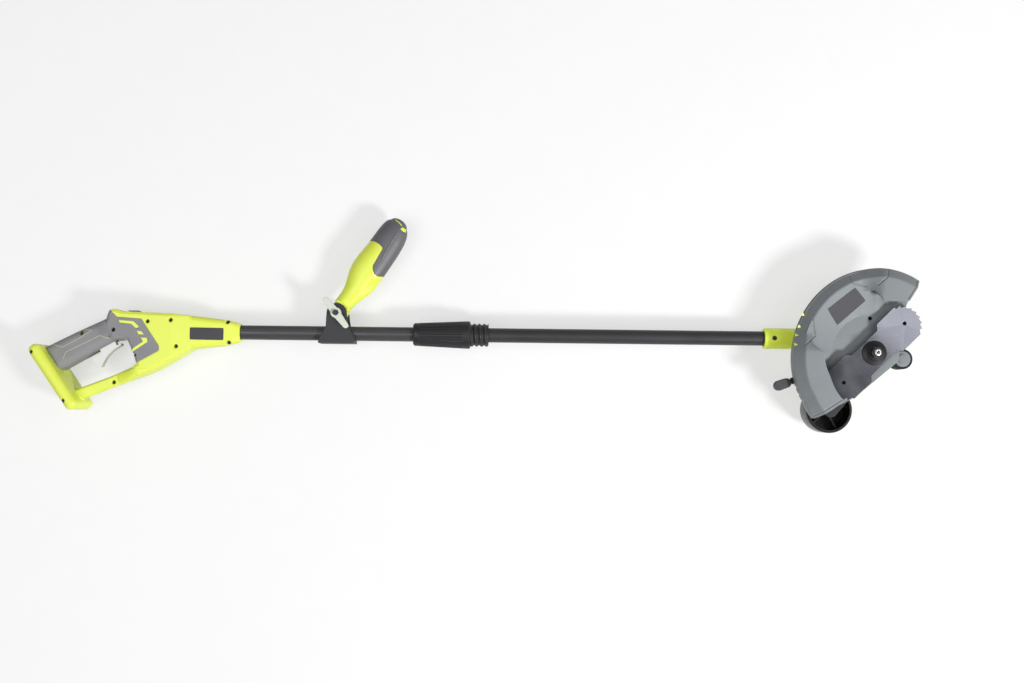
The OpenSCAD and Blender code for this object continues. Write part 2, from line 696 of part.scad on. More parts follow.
// Cutting head casing, motor and gears
motor_dir = 155;
gear_centres = gear_module * (pinion_teeth + gear_teeth) / 2 + 0.1;
motor_x = gear_centres * cos(motor_dir);
motor_y = gear_centres * sin(motor_dir);
motor_case_r = motor_d / 2 + head_wall + 4.5;
floor_t = 3.5;
bell_h = 6.5;
can_low = floor_t + gap + bell_h;
plate_low = can_low + motor_l + gap;
plate_t = 4;
ledge = 2;
gear_low = plate_low + plate_t + 2.2;
boss_top = head_top + boss_h;
tooth_backlash = 0.3;
module at_motor() translate([motor_x, motor_y, 0]) children();
motor_at = [motor_x, motor_y];
throat_at = [-86, shaft_y];
module head_outline() {
    polygon(belt([0, 0], head_r, motor_at, motor_case_r));
    polygon(belt(motor_at, motor_case_r, throat_at, neck_d / 2));
    for (p = lug_places) polygon(belt([0, 0], lug_r + 12, p, lug_r));
}
lug_r = 6.5;
lug_places = [[22, 36], [-8, -42]];
head_screw_places = concat([[-66, 33], [-68, 6]], lug_places);
head_screw_d = 4;
head_screw_head_d = 7;
head_seat = 47;
head_tip = 18;
module head_posts() for (p = head_screw_places) translate(p) circle(r = head_screw_head_d / 2 + 1.6);
module head_space(inset) difference() {
    offset(delta = -inset) head_outline();
    head_posts();
}
neck_screw_in = 14.5;
neck_screw_d = 4;
neck_screw_head_d = 7;
neck_screw_seat = neck_d / 2 - 2.6;
module at_neck_screw() translate([-neck_reach + neck_screw_in, shaft_y, shaft_z]) children();
module neck_screw_hole() at_neck_screw() {
    cylinder(d = neck_screw_d + 2 * slip, h = 60);
    translate([0, 0, neck_screw_seat]) cylinder(d = neck_screw_head_d + 2 * gap, h = 20);
}
module head_screw_holes() for (p = head_screw_places) translate(p) {
    translate([0, 0, head_tip - 1]) cylinder(d = head_screw_d + slip, h = head_seat - head_tip + 1.1);
    translate([0, 0, head_seat]) cylinder(d = head_screw_head_d + 2 * gap, h = 60);
}
lower_bearing = [8, 16];
upper_bearing = [spindle_d, 28];
upper_bearing_w = 8;
lid_t = 4.5;
upper_bearing_z = head_top - lid_t + 0.6;
module neck_solid() rod(-neck_reach, -70, neck_d / 2);
module split_side(up) translate([-400, -400, up ? shaft_z : shaft_z - 200]) cube([800, 800, 200]);
module head_near() color(lime) difference() {
    union() {
        translate([0, 0, shaft_z]) slab(head_top - shaft_z, 3) head_outline();
        neck_solid();
        translate([0, 0, head_top - 1]) cylinder(r = boss_r, h = boss_h + 1);
    }
    translate([0, 0, shaft_z - 1]) linear_extrude(plate_low + plate_t + gap - shaft_z + 1)
        head_space(head_wall);
    translate([0, 0, shaft_z]) linear_extrude(head_top - lid_t - shaft_z) head_space(head_wall + ledge);
    translate([0, 0, head_top - lid_t - 1])
        cylinder(d = upper_bearing[1] + slip, h = upper_bearing_z + upper_bearing_w - head_top + lid_t + 1);
    cylinder(d = spindle_d + 1, h = tall);
    rod(-neck_reach - 1, lower_end + 2, bore_r);
    rod(lower_end, -74, tube_r - tube_wall);
    head_screw_holes();
    neck_screw_hole();
    guard_screw_holes();
    split_side(false);
}
module head_far() color(lime) difference() {
    union() {
        translate([0, 0, shaft_z]) mirror([0, 0, 1]) slab(shaft_z, 5) head_outline();
        neck_solid();
        translate([0, 0, roller_low - lug_h - gap]) linear_extrude(lug_h)
            polygon(belt([0, 0], 24, roller_at, roller_pin_d / 2 + 6));
    }
    translate([0, 0, floor_t]) linear_extrude(shaft_z) head_space(head_wall);
    rod(-neck_reach - 1, lower_end + 2, bore_r);
    rod(lower_end, -74, tube_r - tube_wall);
    head_screw_holes();
    translate([roller_at[0], roller_at[1], 0]) cylinder(d = roller_pin_d + slip, h = 100);
    for (i = [-2 : 2]) at_motor() rotate([0, 0, 100 + 14 * i]) translate([15, -1.6, 8]) cube([40, 3.2, 20]);
    for (i = [-2 : 2]) at_motor() translate([-14, 6 * i - 1.5, -1]) cube([28, 3, 6]);
    split_side(true);
}
module head_screws() color(black) for (p = head_screw_places) translate(p) {
    translate([0, 0, head_tip]) cylinder(d = head_screw_d, h = head_seat - head_tip);
    translate([0, 0, head_seat]) cylinder(d = head_screw_head_d, h = 3.4);
}
module neck_screw() color(black) at_neck_screw() {
    translate([0, 0, tube_r - 4]) cylinder(d = neck_screw_d, h = neck_d / 2 - tube_r + 2);
    translate([0, 0, neck_screw_seat]) cylinder(d = neck_screw_head_d, h = 2.4);
}
module motor_can() color(steel) at_motor() difference() {
    translate([0, 0, can_low]) cylinder(d = motor_d, h = motor_l);
    translate([0, 0, can_low - 1]) cylinder(d = motor_d - 3, h = motor_l - 1);
    cylinder(d = motor_shaft_d + slip, h = tall);
}
magnet_t = 2.6;
rotor_d = motor_d - 3 - 2 * magnet_t - 1.6;
module motor_magnets() color([0.25, 0.24, 0.24]) at_motor() intersection() {
    difference() {
        translate([0, 0, can_low + 3]) cylinder(d = motor_d - 3, h = motor_l - 8);
        cylinder(d = motor_d - 3 - 2 * magnet_t, h = tall);
    }
    for (y = [3, -60]) translate([-40, y, 0]) cube([80, 57, 200]);
}
module motor_armature() color(copper_red) at_motor() {
    translate([0, 0, floor_t + 2]) cylinder(d = motor_shaft_d, h = gear_low + gear_w - floor_t - 2);
    difference() {
        translate([0, 0, can_low + 4]) cylinder(d = rotor_d, h = motor_l - 10);
        for (i = [0 : 4]) rotate([0, 0, 72 * i]) translate([rotor_d / 2 - 5, -1, 0]) cube([20, 2, 200]);
    }
}
module motor_end_bell() color(black) at_motor() difference() {
    translate([0, 0, floor_t]) cylinder(d = motor_d, h = bell_h + gap);
    translate([0, 0, floor_t + 1.8]) cylinder(d = motor_shaft_d + slip, h = 50);
    translate([-40, -2, floor_t + 3]) cube([28, 4, 30]);
}
module gear_plate() color(steel) difference() {
    translate([0, 0, plate_low]) linear_extrude(plate_t) offset(delta = -gap) head_space(head_wall);
    at_motor() cylinder(d = motor_shaft_d + 1, h = tall);
    cylinder(d = lower_bearing[1] + slip, h = tall);
    rod(-neck_reach, lower_end + 2, tube_r + gap);
}

// Involute gears
function involute(r, rb) = r <= rb ? 0 : let (t = sqrt(r * r / (rb * rb) - 1)) t * 180 / PI - atan(t);
module gear_profile(n) {
    rp = gear_module * n / 2;
    rb = rp * cos(20);
    ra = rp + 0.92 * gear_module;
    rr = rp - 1.25 * gear_module;
    half_base = 90 / n + involute(rp, rb) - tooth_backlash / rp * 90 / PI;
    radii = [rr, max(rb, rr + 0.05), rp, (rp + ra) / 2, ra];
    last = len(radii) - 1;
    polygon([for (i = [0 : n - 1]) for (side = [-1, 1]) for (j = [0 : last])
        let (k = side < 0 ? j : last - j, a = 360 * i / n + side * (half_base - involute(radii[k], rb)))
        radii[k] * [cos(a), sin(a)]]);
}
module spindle_gear() color(steel) translate([0, 0, gear_low]) rotate([0, 0, motor_dir]) difference() {
    linear_extrude(gear_w) gear_profile(gear_teeth);
    translate([0, 0, -1]) cylinder(d = spindle_d + slip, h = 50);
}
module motor_pinion() color(brass) at_motor() translate([0, 0, gear_low])
    rotate([0, 0, motor_dir + 180 + 180 / pinion_teeth]) difference() {
        linear_extrude(gear_w) gear_profile(pinion_teeth);
        translate([0, 0, -1]) cylinder(d = motor_shaft_d + slip, h = 50);
    }
flange_low = boss_top + guard_wall + 1.5;
nut_low = blade_z + blade_t + 8;
nut_h = 8;
module spindle() color(steel) {
    translate([0, 0, plate_low - 4]) cylinder(d = lower_bearing[0], h = 10);
    translate([0, 0, plate_low + plate_t + 1])
        cylinder(d = spindle_d, h = flange_low - plate_low - plate_t - 1);
    translate([0, 0, flange_low - 1]) cylinder(d = arbor_d, h = nut_low + nut_h + 4 - flange_low);
}
module bearing_ring(size, w) difference() {
    cylinder(d = size[1], h = w);
    translate([0, 0, -1]) cylinder(d = size[0] + slip, h = w + 2);
}
module bearing_lower() color(steel) translate([0, 0, plate_low]) bearing_ring(lower_bearing, plate_t);
module bearing_upper() color(steel) translate([0, 0, upper_bearing_z])
    bearing_ring(upper_bearing, upper_bearing_w);

// Blade and what clamps it
flange_r = 16;
hub_r = 11;
module inner_flange() color(steel) difference() {
    union() {
        translate([0, 0, flange_low]) cylinder(r = hub_r, h = blade_z - flange_low);
        translate([0, 0, blade_z - 3.5]) cylinder(r = flange_r, h = 3.5);
    }
    cylinder(d = arbor_d + slip, h = tall);
}
tooth_count = 8;
tooth_depth = 3;
corner_at = blade_r - 19.5;
end_r = (pow(blade_head_w / 2, 2) + pow(blade_r - corner_at, 2)) / (2 * (blade_r - corner_at));
end_half = asin(blade_head_w / 2 / end_r);
function end_point(a, r) = [blade_r - end_r + r * cos(a), r * sin(a)];
module blade_end() {
    step = 2 * end_half / tooth_count;
    polygon(concat([[0, -blade_waist_w / 2], [blade_waist_l / 2 - 4, -blade_waist_w / 2],
                    [blade_waist_l / 2 + 2, -blade_head_w / 2]],
        [for (i = [0 : tooth_count - 1]) let (a = -end_half + i * step)
            each [end_point(a, end_r), end_point(a + step * 0.75, end_r - tooth_depth)]],
        [end_point(end_half, end_r), [blade_waist_l / 2 + 2, blade_head_w / 2],
         [blade_waist_l / 2 - 4, blade_waist_w / 2], [0, blade_waist_w / 2]]));
}
blade_hole_r = blade_r - 25;
blade_hole_d = 5.5;
module blade() color(black) translate([0, 0, blade_z]) rotate([0, 0, blade_angle]) difference() {
    linear_extrude(blade_t) union() {
        blade_end();
        rotate([0, 0, 180]) blade_end();
    }
    translate([0, 0, -1]) cylinder(d = arbor_d + slip, h = 10);
    for (side = [-1, 1]) translate([side * blade_hole_r, 0, -1]) cylinder(d = blade_hole_d, h = 10);
}
module outer_flange() color(black) translate([0, 0, blade_z + blade_t]) difference() {
    rotate_extrude() polygon([[0, 0], [bell_d / 2, 0], [bell_d / 2, 1.5], [bell_d / 2 - 3, 3],
                              [bell_d / 2 - 7, 5.5], [bell_d / 2 - 8.5, 8], [0, 8]]);
    translate([0, 0, -1]) cylinder(d = arbor_d + slip, h = 20);
}
module arbor_nut() color(black) translate([0, 0, nut_low]) difference() {
    cylinder(d = 18.4, h = nut_h, $fn = 6);
    translate([0, 0, -1]) cylinder(d = arbor_d + slip, h = 20);
}

// Guard: a rim swept round the blade whose front face covers the blade tips at both ends
function smooth(x) = let (t = max(0, min(1, x))) t * t * (3 - 2 * t);
function span(a, from, to, l) = smooth((a - from) / l) * smooth((to - a) / l);
function middle(a) = span(a, 86, 174, 12);
function retreat(a) = span(a, 80, 180, 12);
function inward(a) = span(a, 93, 167, 12);
function apron(a) = span(a, 105, 155, 12);
swell = 6;
swell_dir = 67;
flare = 4;
flare_from = 212;
lean = 0.17;
retreat_r = blade_r + 5;
apron_r = blade_r - 31;
slope_foot = boss_top + guard_wall + 0.2;
function rim_r(a) = guard_r + swell * cos(2 * (a - swell_dir)) + flare * smooth((a - flare_from) / 16);
function leaned(a, r) = a + lean * smooth((a - flare_from + 6) / 22) * (rim_r(a) - r);
function rim_section(a) =
    let (top = face_z - face_dip * middle(a), r = rim_r(a), w = guard_wall,
         low = top + (slope_foot - top) * inward(a),
         edge = band_r + (retreat_r - band_r) * retreat(a) + (apron_r - retreat_r) * apron(a))
    [[r, rim_back], [r, top - bevel_h], [r - bevel_w, top], [edge, low], [edge, low - w],
     [r - bevel_w - w * 0.6, top - w], [r - w, top - bevel_h - w * 0.6], [r - w, rim_back]];
guard_step = 2.5;
module guard_rim() {
    n = 8;
    m = ceil((guard_end - guard_start) / guard_step);
    angles = [for (i = [0 : m]) guard_start + (guard_end - guard_start) * i / m];
    points = [for (a = angles) let (s = rim_section(a)) each
        [for (k = [n - 1 : -1 : 0]) let (r = s[k][0], b = leaned(a, r)) [r * cos(b), r * sin(b), s[k][1]]]];
    caps = [[0, 1, 6], [0, 6, 7], [1, 2, 5], [1, 5, 6], [2, 3, 4], [2, 4, 5]];
    far = m * n;
    polyhedron(points, concat(strip(m + 1, n), [for (c = caps) [c[0], c[1], c[2]]],
               [for (c = caps) [far + c[0], far + c[2], far + c[1]]]));
}
module plate_outline() {
    arc = [for (i = [0 : 40]) let (a = guard_start + (guard_end - guard_start) * i / 40)
        (rim_r(a) - guard_wall / 2) * [cos(a), sin(a)]];
    n = [cos(-50), sin(-50)];
    t = [cos(40), sin(40)];
    polygon(concat(arc, [chord_in * n - 62 * t, chord_in * n + 24 * t, [44, 8], [43, 50]]));
}
notch_count = 4;
notch_step = 5;
lock_hole_at = [-1.5, 53];
lock_hole_d = 6;
guard_screw_r = 16.3;
guard_screw_d = 4;
module guard_screw_places()
    for (a = [15, 135, 255]) rotate([0, 0, a]) translate([guard_screw_r, 0, 0]) children();
module guard_screw_holes() guard_screw_places()
    translate([0, 0, boss_top - 6.5]) cylinder(d = guard_screw_d + slip, h = 30);
module guard() color(guard_grey) difference() {
    union() {
        guard_rim();
        translate([0, 0, boss_top]) linear_extrude(guard_wall) plate_outline();
    }
    cylinder(d = spindle_d + 2, h = tall);
    guard_screw_holes();
    translate([lock_hole_at[0], lock_hole_at[1], 0]) cylinder(d = lock_hole_d, h = tall);
    for (i = [0 : notch_count - 1]) rotate([0, 0, lever_angle + notch_step * i])
        translate([guard_r - 8, -1.6, rim_back - 1]) cube([16, 3.2, 3]);
}
module guard_screws() color(black) guard_screw_places() {
    translate([0, 0, boss_top - 6]) cylinder(d = guard_screw_d, h = guard_wall + 6);
    translate([0, 0, boss_top + guard_wall]) cylinder(d = 6.6, h = 2.2);
}

// Depth arm: turns on the boss, carries the wheel, and is set by the lever at the guard's rim
arm_low = head_top + gap;
arm_t = 5;
arm_hub_r = boss_r + 8;
axle_at = arm_l * [cos(arm_angle), sin(arm_angle)];
lever_root = guard_r + 2;
lever_w = 10;
tongue_w = 6;
paddle_r = 7.6;
module depth_arm() color(black) difference() {
    union() {
        translate([0, 0, arm_low]) cylinder(r = arm_hub_r, h = boss_h - 2 * gap);
        translate([0, 0, arm_low]) linear_extrude(arm_t) hull() {
            circle(r = arm_hub_r - 6, $fn = 32);
            translate(axle_at) circle(r = axle_d / 2 + 6, $fn = 32);
        }
        translate([0, 0, arm_low]) linear_extrude(arm_t) rotate([0, 0, lever_angle]) {
            translate([arm_hub_r - 4, -lever_w / 2]) square([lever_root - arm_hub_r + 4, lever_w]);
            translate([lever_root - 1, -tongue_w / 2]) square([lever_l - lever_root - 6, tongue_w]);
        }
        rotate([0, 0, lever_angle]) translate([guard_r - 6, -1.2, arm_low])
            cube([6, 2.4, rim_back - gap - arm_low]);
    }
    cylinder(r = boss_r + run_fit, h = tall);
    translate([axle_at[0], axle_at[1], 0]) cylinder(d = axle_d + slip, h = tall);
}
module lever_grip() color(soft_grey) rotate([0, 0, lever_angle]) difference() {
    translate([0, 0, arm_low - 3]) linear_extrude(rim_back - gap - arm_low + 3) hull() {
        translate([lever_l - paddle_r, 0]) circle(r = paddle_r, $fn = 32);
        translate([lever_root + paddle_r + gap, 0]) circle(r = paddle_r - gap, $fn = 32);
    }
    translate([lever_root - 20, -tongue_w / 2, arm_low]) cube([lever_l - lever_root + 13, tongue_w, arm_t]);
}
wheel_top = arm_low - 3;
wheel_low = wheel_top - wheel_w;
wheel_rim_t = 4;
web_t = 5;
wheel_hub_r = axle_d / 2 + 4;
module at_axle() translate([axle_at[0], axle_at[1], 0]) children();
module wheel() color(black) at_axle() difference() {
    union() {
        translate([0, 0, wheel_low]) rotate_extrude() polygon([
            [0, 0], [wheel_d / 2 - 4, 0], [wheel_d / 2, 4], [wheel_d / 2, wheel_w - 2],
            [wheel_d / 2 - 2, wheel_w],
            [wheel_d / 2 - wheel_rim_t, wheel_w], [wheel_d / 2 - wheel_rim_t, web_t], [0, web_t]]);
        translate([0, 0, wheel_low]) cylinder(r = wheel_hub_r, h = wheel_w + 3 - gap);
        for (i = [0 : 4]) rotate([0, 0, 72 * i + 10]) translate([wheel_hub_r - 2, -1.5, wheel_low + 1])
            cube([wheel_d / 2 - wheel_hub_r, 3, wheel_w * 0.55]);
    }
    translate([0, 0, -50]) cylinder(r = axle_d / 2 + run_fit, h = tall);
}
axle_head_h = 5;
module wheel_axle() color(steel) at_axle() {
    translate([0, 0, wheel_low - gap]) cylinder(d = axle_d, h = arm_low + arm_t - wheel_low + gap);
    translate([0, 0, arm_low + arm_t]) cylinder(d = axle_d + 6, h = axle_head_h - 2, $fn = 6);
    translate([0, 0, wheel_low - gap - 3]) cylinder(d = axle_d + 6, h = 3);
}
roller_at = [54, -7];
roller_low = 36;
lug_h = 12;
tyre_t = 3.5;
module at_roller() translate([roller_at[0], roller_at[1], roller_low]) children();
module roller_tyre() color(black) at_roller() difference() {
    cylinder(d = roller_d, h = roller_l);
    translate([0, 0, -1]) cylinder(d = roller_d - 2 * tyre_t, h = roller_l + 2);
}
module roller_hub() color(guard_grey) at_roller() difference() {
    cylinder(d = roller_d - 2 * tyre_t - slip, h = roller_l + 1);
    translate([0, 0, -1]) cylinder(r = roller_pin_d / 2 + run_fit, h = 60);
}
module roller_pin() color(steel) at_roller() {
    translate([0, 0, -lug_h - gap]) cylinder(d = roller_pin_d, h = roller_l + lug_h + 2.5);
    translate([0, 0, roller_l + 1 + gap]) cylinder(d = roller_pin_d + 6, h = 2);
}

housing_near();
housing_far();
grip_pad_near();
grip_pad_far();
housing_screws();
trigger();
trigger_spring();
lock_button();
lock_spring();
switch_module();
terminal_block();
battery_contacts();
upper_tube();
lower_tube();
upper_lead();
lower_lead();
lead_plug();
lead_socket();
coupling_collar();
coupling_fitting();
coupling_nut();
slip_ring();
handle_bracket();
handle_bolt();
wing_knob();
handle_core();
handle_grip();
head_near();
head_far();
head_screws();
neck_screw();
motor_can();
motor_magnets();
motor_armature();
motor_end_bell();
motor_pinion();
gear_plate();
spindle_gear();
spindle();
bearing_lower();
bearing_upper();
inner_flange();
blade();
outer_flange();
arbor_nut();
guard();
guard_screws();
depth_arm();
lever_grip();
wheel();
wheel_axle();
roller_tyre();
roller_hub();
roller_pin();
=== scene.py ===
# %% [markdown]
# # A cordless stick lawn edger, dressed for a studio picture
#
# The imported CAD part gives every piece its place. This lesson loads it, gives each piece a
# procedural finish, and rebuilds in finer mesh the forms that show most: the blade guard, the front
# handle, the screws and the small plates. Everything is in metres. The blade axis is the Z axis, the
# shaft runs along X, and the tool lies on its side with the blade facing up.

# %% Load the frame
import math

import bpy
import bmesh
from mathutils import Matrix, Vector
from mathutils.bvhtree import BVHTree


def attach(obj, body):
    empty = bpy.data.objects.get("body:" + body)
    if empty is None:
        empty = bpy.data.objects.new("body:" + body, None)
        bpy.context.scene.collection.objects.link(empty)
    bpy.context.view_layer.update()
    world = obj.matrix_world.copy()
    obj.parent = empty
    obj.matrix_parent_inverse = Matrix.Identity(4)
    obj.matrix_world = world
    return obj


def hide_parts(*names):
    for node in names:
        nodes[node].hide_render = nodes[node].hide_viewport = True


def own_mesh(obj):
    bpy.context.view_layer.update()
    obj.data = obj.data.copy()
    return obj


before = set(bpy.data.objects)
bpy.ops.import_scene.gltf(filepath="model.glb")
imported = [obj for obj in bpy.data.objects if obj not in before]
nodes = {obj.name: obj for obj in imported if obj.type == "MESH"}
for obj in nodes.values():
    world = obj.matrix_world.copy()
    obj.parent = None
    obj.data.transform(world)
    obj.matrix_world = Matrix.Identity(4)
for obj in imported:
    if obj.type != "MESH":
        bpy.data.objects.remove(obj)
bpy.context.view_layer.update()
scene = bpy.context.scene
print("CAD nodes:", len(nodes))

# %% [markdown]
# ## Sizes shared with the CAD part
# The finer meshes are built around a few places of the CAD part, so these are named once, here.
# Working in millimetres and multiplying by MM keeps the numbers easy to read.

# %% Shared sizes
MM = 0.001
SHAFT_Y, SHAFT_Z = 23.5, 40.0
NOSE_X = -960.0
BOLT_X, BOLT_UP = -811.0, 30.5
BLADE_ANGLE = 44.5
BOSS_TOP = 84.0


def handle_point(x, y, z=0.0):
    """A place on the rear handle, measured from the nose's mouth on the shaft axis."""
    return Vector((NOSE_X + x, SHAFT_Y + y, SHAFT_Z + z)) * MM


def ring(n):
    """The turns of n points round a circle."""
    return [2 * math.pi * k / n for k in range(n)]


def polar(turn, r=1, z=0):
    """A point at a turn and a radius about the Z axis."""
    return Vector((r * math.cos(turn), r * math.sin(turn), z))


print("nose mouth at", [round(c, 4) for c in handle_point(0, 0)])

# %% [markdown]
# ## A builder for finishes
# Every surface here is a moulded, painted or ground one, and they share a recipe: a base colour with a slow
# mottle, a fine grain in the bump, a roughness that wanders, rubbed edges, painted shade that darkens the
# hollow corners, and a few scuffs. One function with a few settings gives them all, which keeps the
# finishes alike. Pointiness tells edges from corners, so the wear on the edges and the painted shade in the
# corners follow the shape without any painting by hand.


# %% Colours and nodes
def srgb(r, g, b):
    """A colour given as 0 to 255 display values, in the linear values that shaders take."""
    lin = [c / 255 for c in (r, g, b)]
    return tuple(c / 12.92 if c <= 0.04045 else ((c + 0.055) / 1.055) ** 2.4 for c in lin) + (1,)


def fill(tree, node, inputs):
    """Gives each named input a value, or a link when the value is another node's output."""
    for socket, value in inputs.items():
        if isinstance(value, bpy.types.NodeSocket):
            tree.links.new(value, node.inputs[socket])
        else:
            node.inputs[socket].default_value = value


def add_node(tree, kind, inputs, **settings):
    """A new shader node of a kind, with its settings and inputs."""
    node = tree.nodes.new("ShaderNode" + kind)
    for key, value in settings.items():
        setattr(node, key, value)
    fill(tree, node, inputs)
    return node


print("mid grey as a linear value:", round(srgb(128, 128, 128)[0], 3))

# %% Layers
MASK_BLUR = 0.3 * MM


class Finish:
    """A node material under construction, with one method for each kind of layer."""

    def __init__(self, name):
        self.mat = bpy.data.materials.new(name)
        self.mat.use_nodes = True
        self.tree = self.mat.node_tree
        self.place = add_node(self.tree, "TexCoord", {}).outputs["Object"]

    def noise(self, scale, detail, stretch=None):
        vector = self.place
        if stretch:
            lean = (0, 0, math.radians(stretch[3]))
            mapping = {"Vector": vector, "Rotation": lean, "Scale": stretch[:3]}
            vector = add_node(self.tree, "Mapping", mapping).outputs["Vector"]
        inputs = {"Scale": scale, "Detail": detail, "Vector": vector}
        return add_node(self.tree, "TexNoise", inputs).outputs["Fac"]

    def remap(self, value, low, high, out_low=0.0, out_high=1.0):
        inputs = {"Value": value, "From Min": low, "From Max": high, "To Min": out_low, "To Max": out_high}
        return add_node(self.tree, "MapRange", inputs).outputs["Result"]

    def inside(self, edges, core):
        """One inside the convex region whose edges are given as pairs of points, nought outside."""
        region = None
        for a, b in edges:
            out = Vector((b[1] - a[1], a[0] - b[0], 0)).normalized()
            if out.dot(core - a) > 0:
                out.negate()
            reach = add_node(self.tree, "VectorMath", {0: self.place, 1: out}, operation="DOT_PRODUCT")
            line = out.dot(a)
            part = self.remap(reach.outputs["Value"], line - MASK_BLUR, line + MASK_BLUR, 1, 0)
            if region is not None:
                both = add_node(self.tree, "Math", {0: region, 1: part}, operation="MULTIPLY")
                part = both.outputs[0]
            region = part
        return region

    def mix(self, factor, under, over):
        inputs = {"Factor": factor, "A": under, "B": over}
        return add_node(self.tree, "Mix", inputs, data_type="RGBA").outputs["Result"]


print("a mask's edge is soft over", 2 * MASK_BLUR, "m")

# %% The finish builder
# Where a layer starts, where it is full, and how much of it shows at each
RUBBED_EDGE = (0.52, 0.62, 0, 0.4)
# Painted shade: hollow corners take a darker tone of the base colour
CORNER_SHADE_RANGE = (0.47, 0.40, 0, 0.6)
SCUFF_MARKS = (0.63, 0.74, 0, 0.35)
SCUFF_SCALE, SCUFF_STRETCH = 55, (1, 9, 3, 30)
GLOSS_DRIFT = 0.07
GRAIN_DEPTH = 0.3 * MM
COAT_ROUGHNESS = 0.1


def finish(name, base, other, rough, metal=0, mottle=25, grain=1400, bump=0.05, edge=None,
           corner_shade=None, scuff=None, stretch=None, specular=0.5, coat=0, zone=None):
    """A finish of two close tones, with the layers that are asked for; colours are display values."""
    base, other, edge, corner_shade, scuff = [c and srgb(*c) for c in (base, other, edge, corner_shade, scuff)]
    work = Finish(name)
    slow = work.noise(mottle, 4)
    colour = work.mix(work.remap(slow, 0.32, 0.68), base, other)
    if edge or corner_shade:
        point = add_node(work.tree, "NewGeometry", {}).outputs["Pointiness"]
        if edge:
            colour = work.mix(work.remap(point, *RUBBED_EDGE), colour, edge)
        # Painted shade: by pointiness, hollow corners take the darker tone given for them
        if corner_shade:
            colour = work.mix(work.remap(point, *CORNER_SHADE_RANGE), colour, corner_shade)
    if scuff:
        scratch = work.noise(SCUFF_SCALE, 3, SCUFF_STRETCH)
        colour = work.mix(work.remap(scratch, *SCUFF_MARKS), colour, scuff)
    for edges, core, tone in zone or []:
        colour = work.mix(work.inside(edges, core), colour, tone)
    gloss = work.remap(slow, 0.3, 0.7, max(0.04, rough - GLOSS_DRIFT), min(1, rough + GLOSS_DRIFT))
    relief = {"Strength": bump, "Distance": GRAIN_DEPTH, "Height": work.noise(grain, 2, stretch)}
    inputs = {"Base Color": colour, "Roughness": gloss, "Metallic": metal, "Specular IOR Level": specular,
              "Normal": add_node(work.tree, "Bump", relief).outputs["Normal"]}
    if coat:
        inputs |= {"Coat Weight": coat, "Coat Roughness": COAT_ROUGHNESS}
    fill(work.tree, work.tree.nodes["Principled BSDF"], inputs)
    return work.mat


print("grain depth of a finish:", GRAIN_DEPTH, "m")

# %% [markdown]
# ## Moulded plastics
# The casing is lime plastic with a fine satin spark texture. The cutting head takes a brighter copy of the
# lime: partly its own fresher tone, partly painted light that lifts the neck out of the guard's shade. The
# guard is a grey plastic that picks up pale scuffs, and the lever, bracket and coupling are black plastic
# of a coarser grain. A flat colour would look like a drawing, so each has a second tone close to the first,
# and most have paler rubbed edges.


# %% Plastics
# In each finish below, the darker tone given for hollow corners is painted shade
def lime_finish(name, zone=None):
    return finish(name, (214, 227, 74), (220, 232, 86), 0.42, bump=0.07, edge=(232, 241, 130),
                  corner_shade=(168, 180, 40), zone=zone)


LIME = lime_finish("lime_plastic")
BLACK = finish("black_plastic", (29, 28, 31), (37, 36, 39), 0.5, bump=0.2, grain=1000, edge=(70, 69, 72),
               specular=0.35)
BRACKET = finish("bracket_plastic", (46, 46, 49), (54, 54, 57), 0.55, bump=0.2, grain=1000,
                 edge=(88, 88, 91), specular=0.35)
GUARD = finish("guard_plastic", (113, 118, 121), (121, 126, 129), 0.55, bump=0.14, mottle=14,
               edge=(160, 164, 167), corner_shade=(80, 82, 82), scuff=(142, 146, 148), specular=0.35)
LEVER = finish("lever_plastic", (54, 53, 57), (62, 61, 65), 0.55, bump=0.2, edge=(96, 96, 100),
               specular=0.35)
PALE = finish("pale_plastic", (196, 201, 190), (206, 211, 200), 0.45, bump=0.08, edge=(226, 229, 222),
              corner_shade=(150, 152, 146))
GLOSS = finish("gloss_black", (18, 17, 18), (24, 23, 24), 0.3, bump=0.03, mottle=18, edge=(56, 55, 56),
               specular=0.3, coat=0.12)
PLATE = finish("bare_plate", (68, 67, 71), (76, 75, 79), 0.65, edge=(104, 103, 106), specular=0.2)
WHITE = finish("white_plastic", (208, 210, 206), (214, 216, 212), 0.45, corner_shade=(170, 172, 160))
LINE = finish("pale_line", (172, 175, 140), (178, 181, 150), 0.6)
# Painted shade: the tone of the strip along the trigger's finger face
TRIGGER_EDGE_SHADE = finish("trigger_lip", (176, 178, 164), (182, 184, 170), 0.6)
# Painted shade: a near-black tone for the plugs in the blade's holes
HOLE_SHADE = finish("painted_hole_shade", (9, 9, 10), (12, 12, 13), 0.9, specular=0.1)
# Painted light: a brighter copy of the lime for the head, partly its own tone, partly making up for the
# guard's shade on the neck
HEAD_LIME_BRIGHTENED = finish("head_lime_brightened", (226, 244, 74), (232, 248, 84), 0.42, bump=0.07, edge=(238, 248, 130),
              corner_shade=(176, 190, 40))
print("plastics:", LIME.name, GUARD.name, BLACK.name)

# %% [markdown]
# ## Soft grips, paint and metal
# The grips are a soft rubber-like overmould with no shine. The tubes have a satin black coat, drawn
# out along the shaft, so their grain is stretched that way. The blade is steel with a thin blue-grey
# coat and grinding marks along its length.

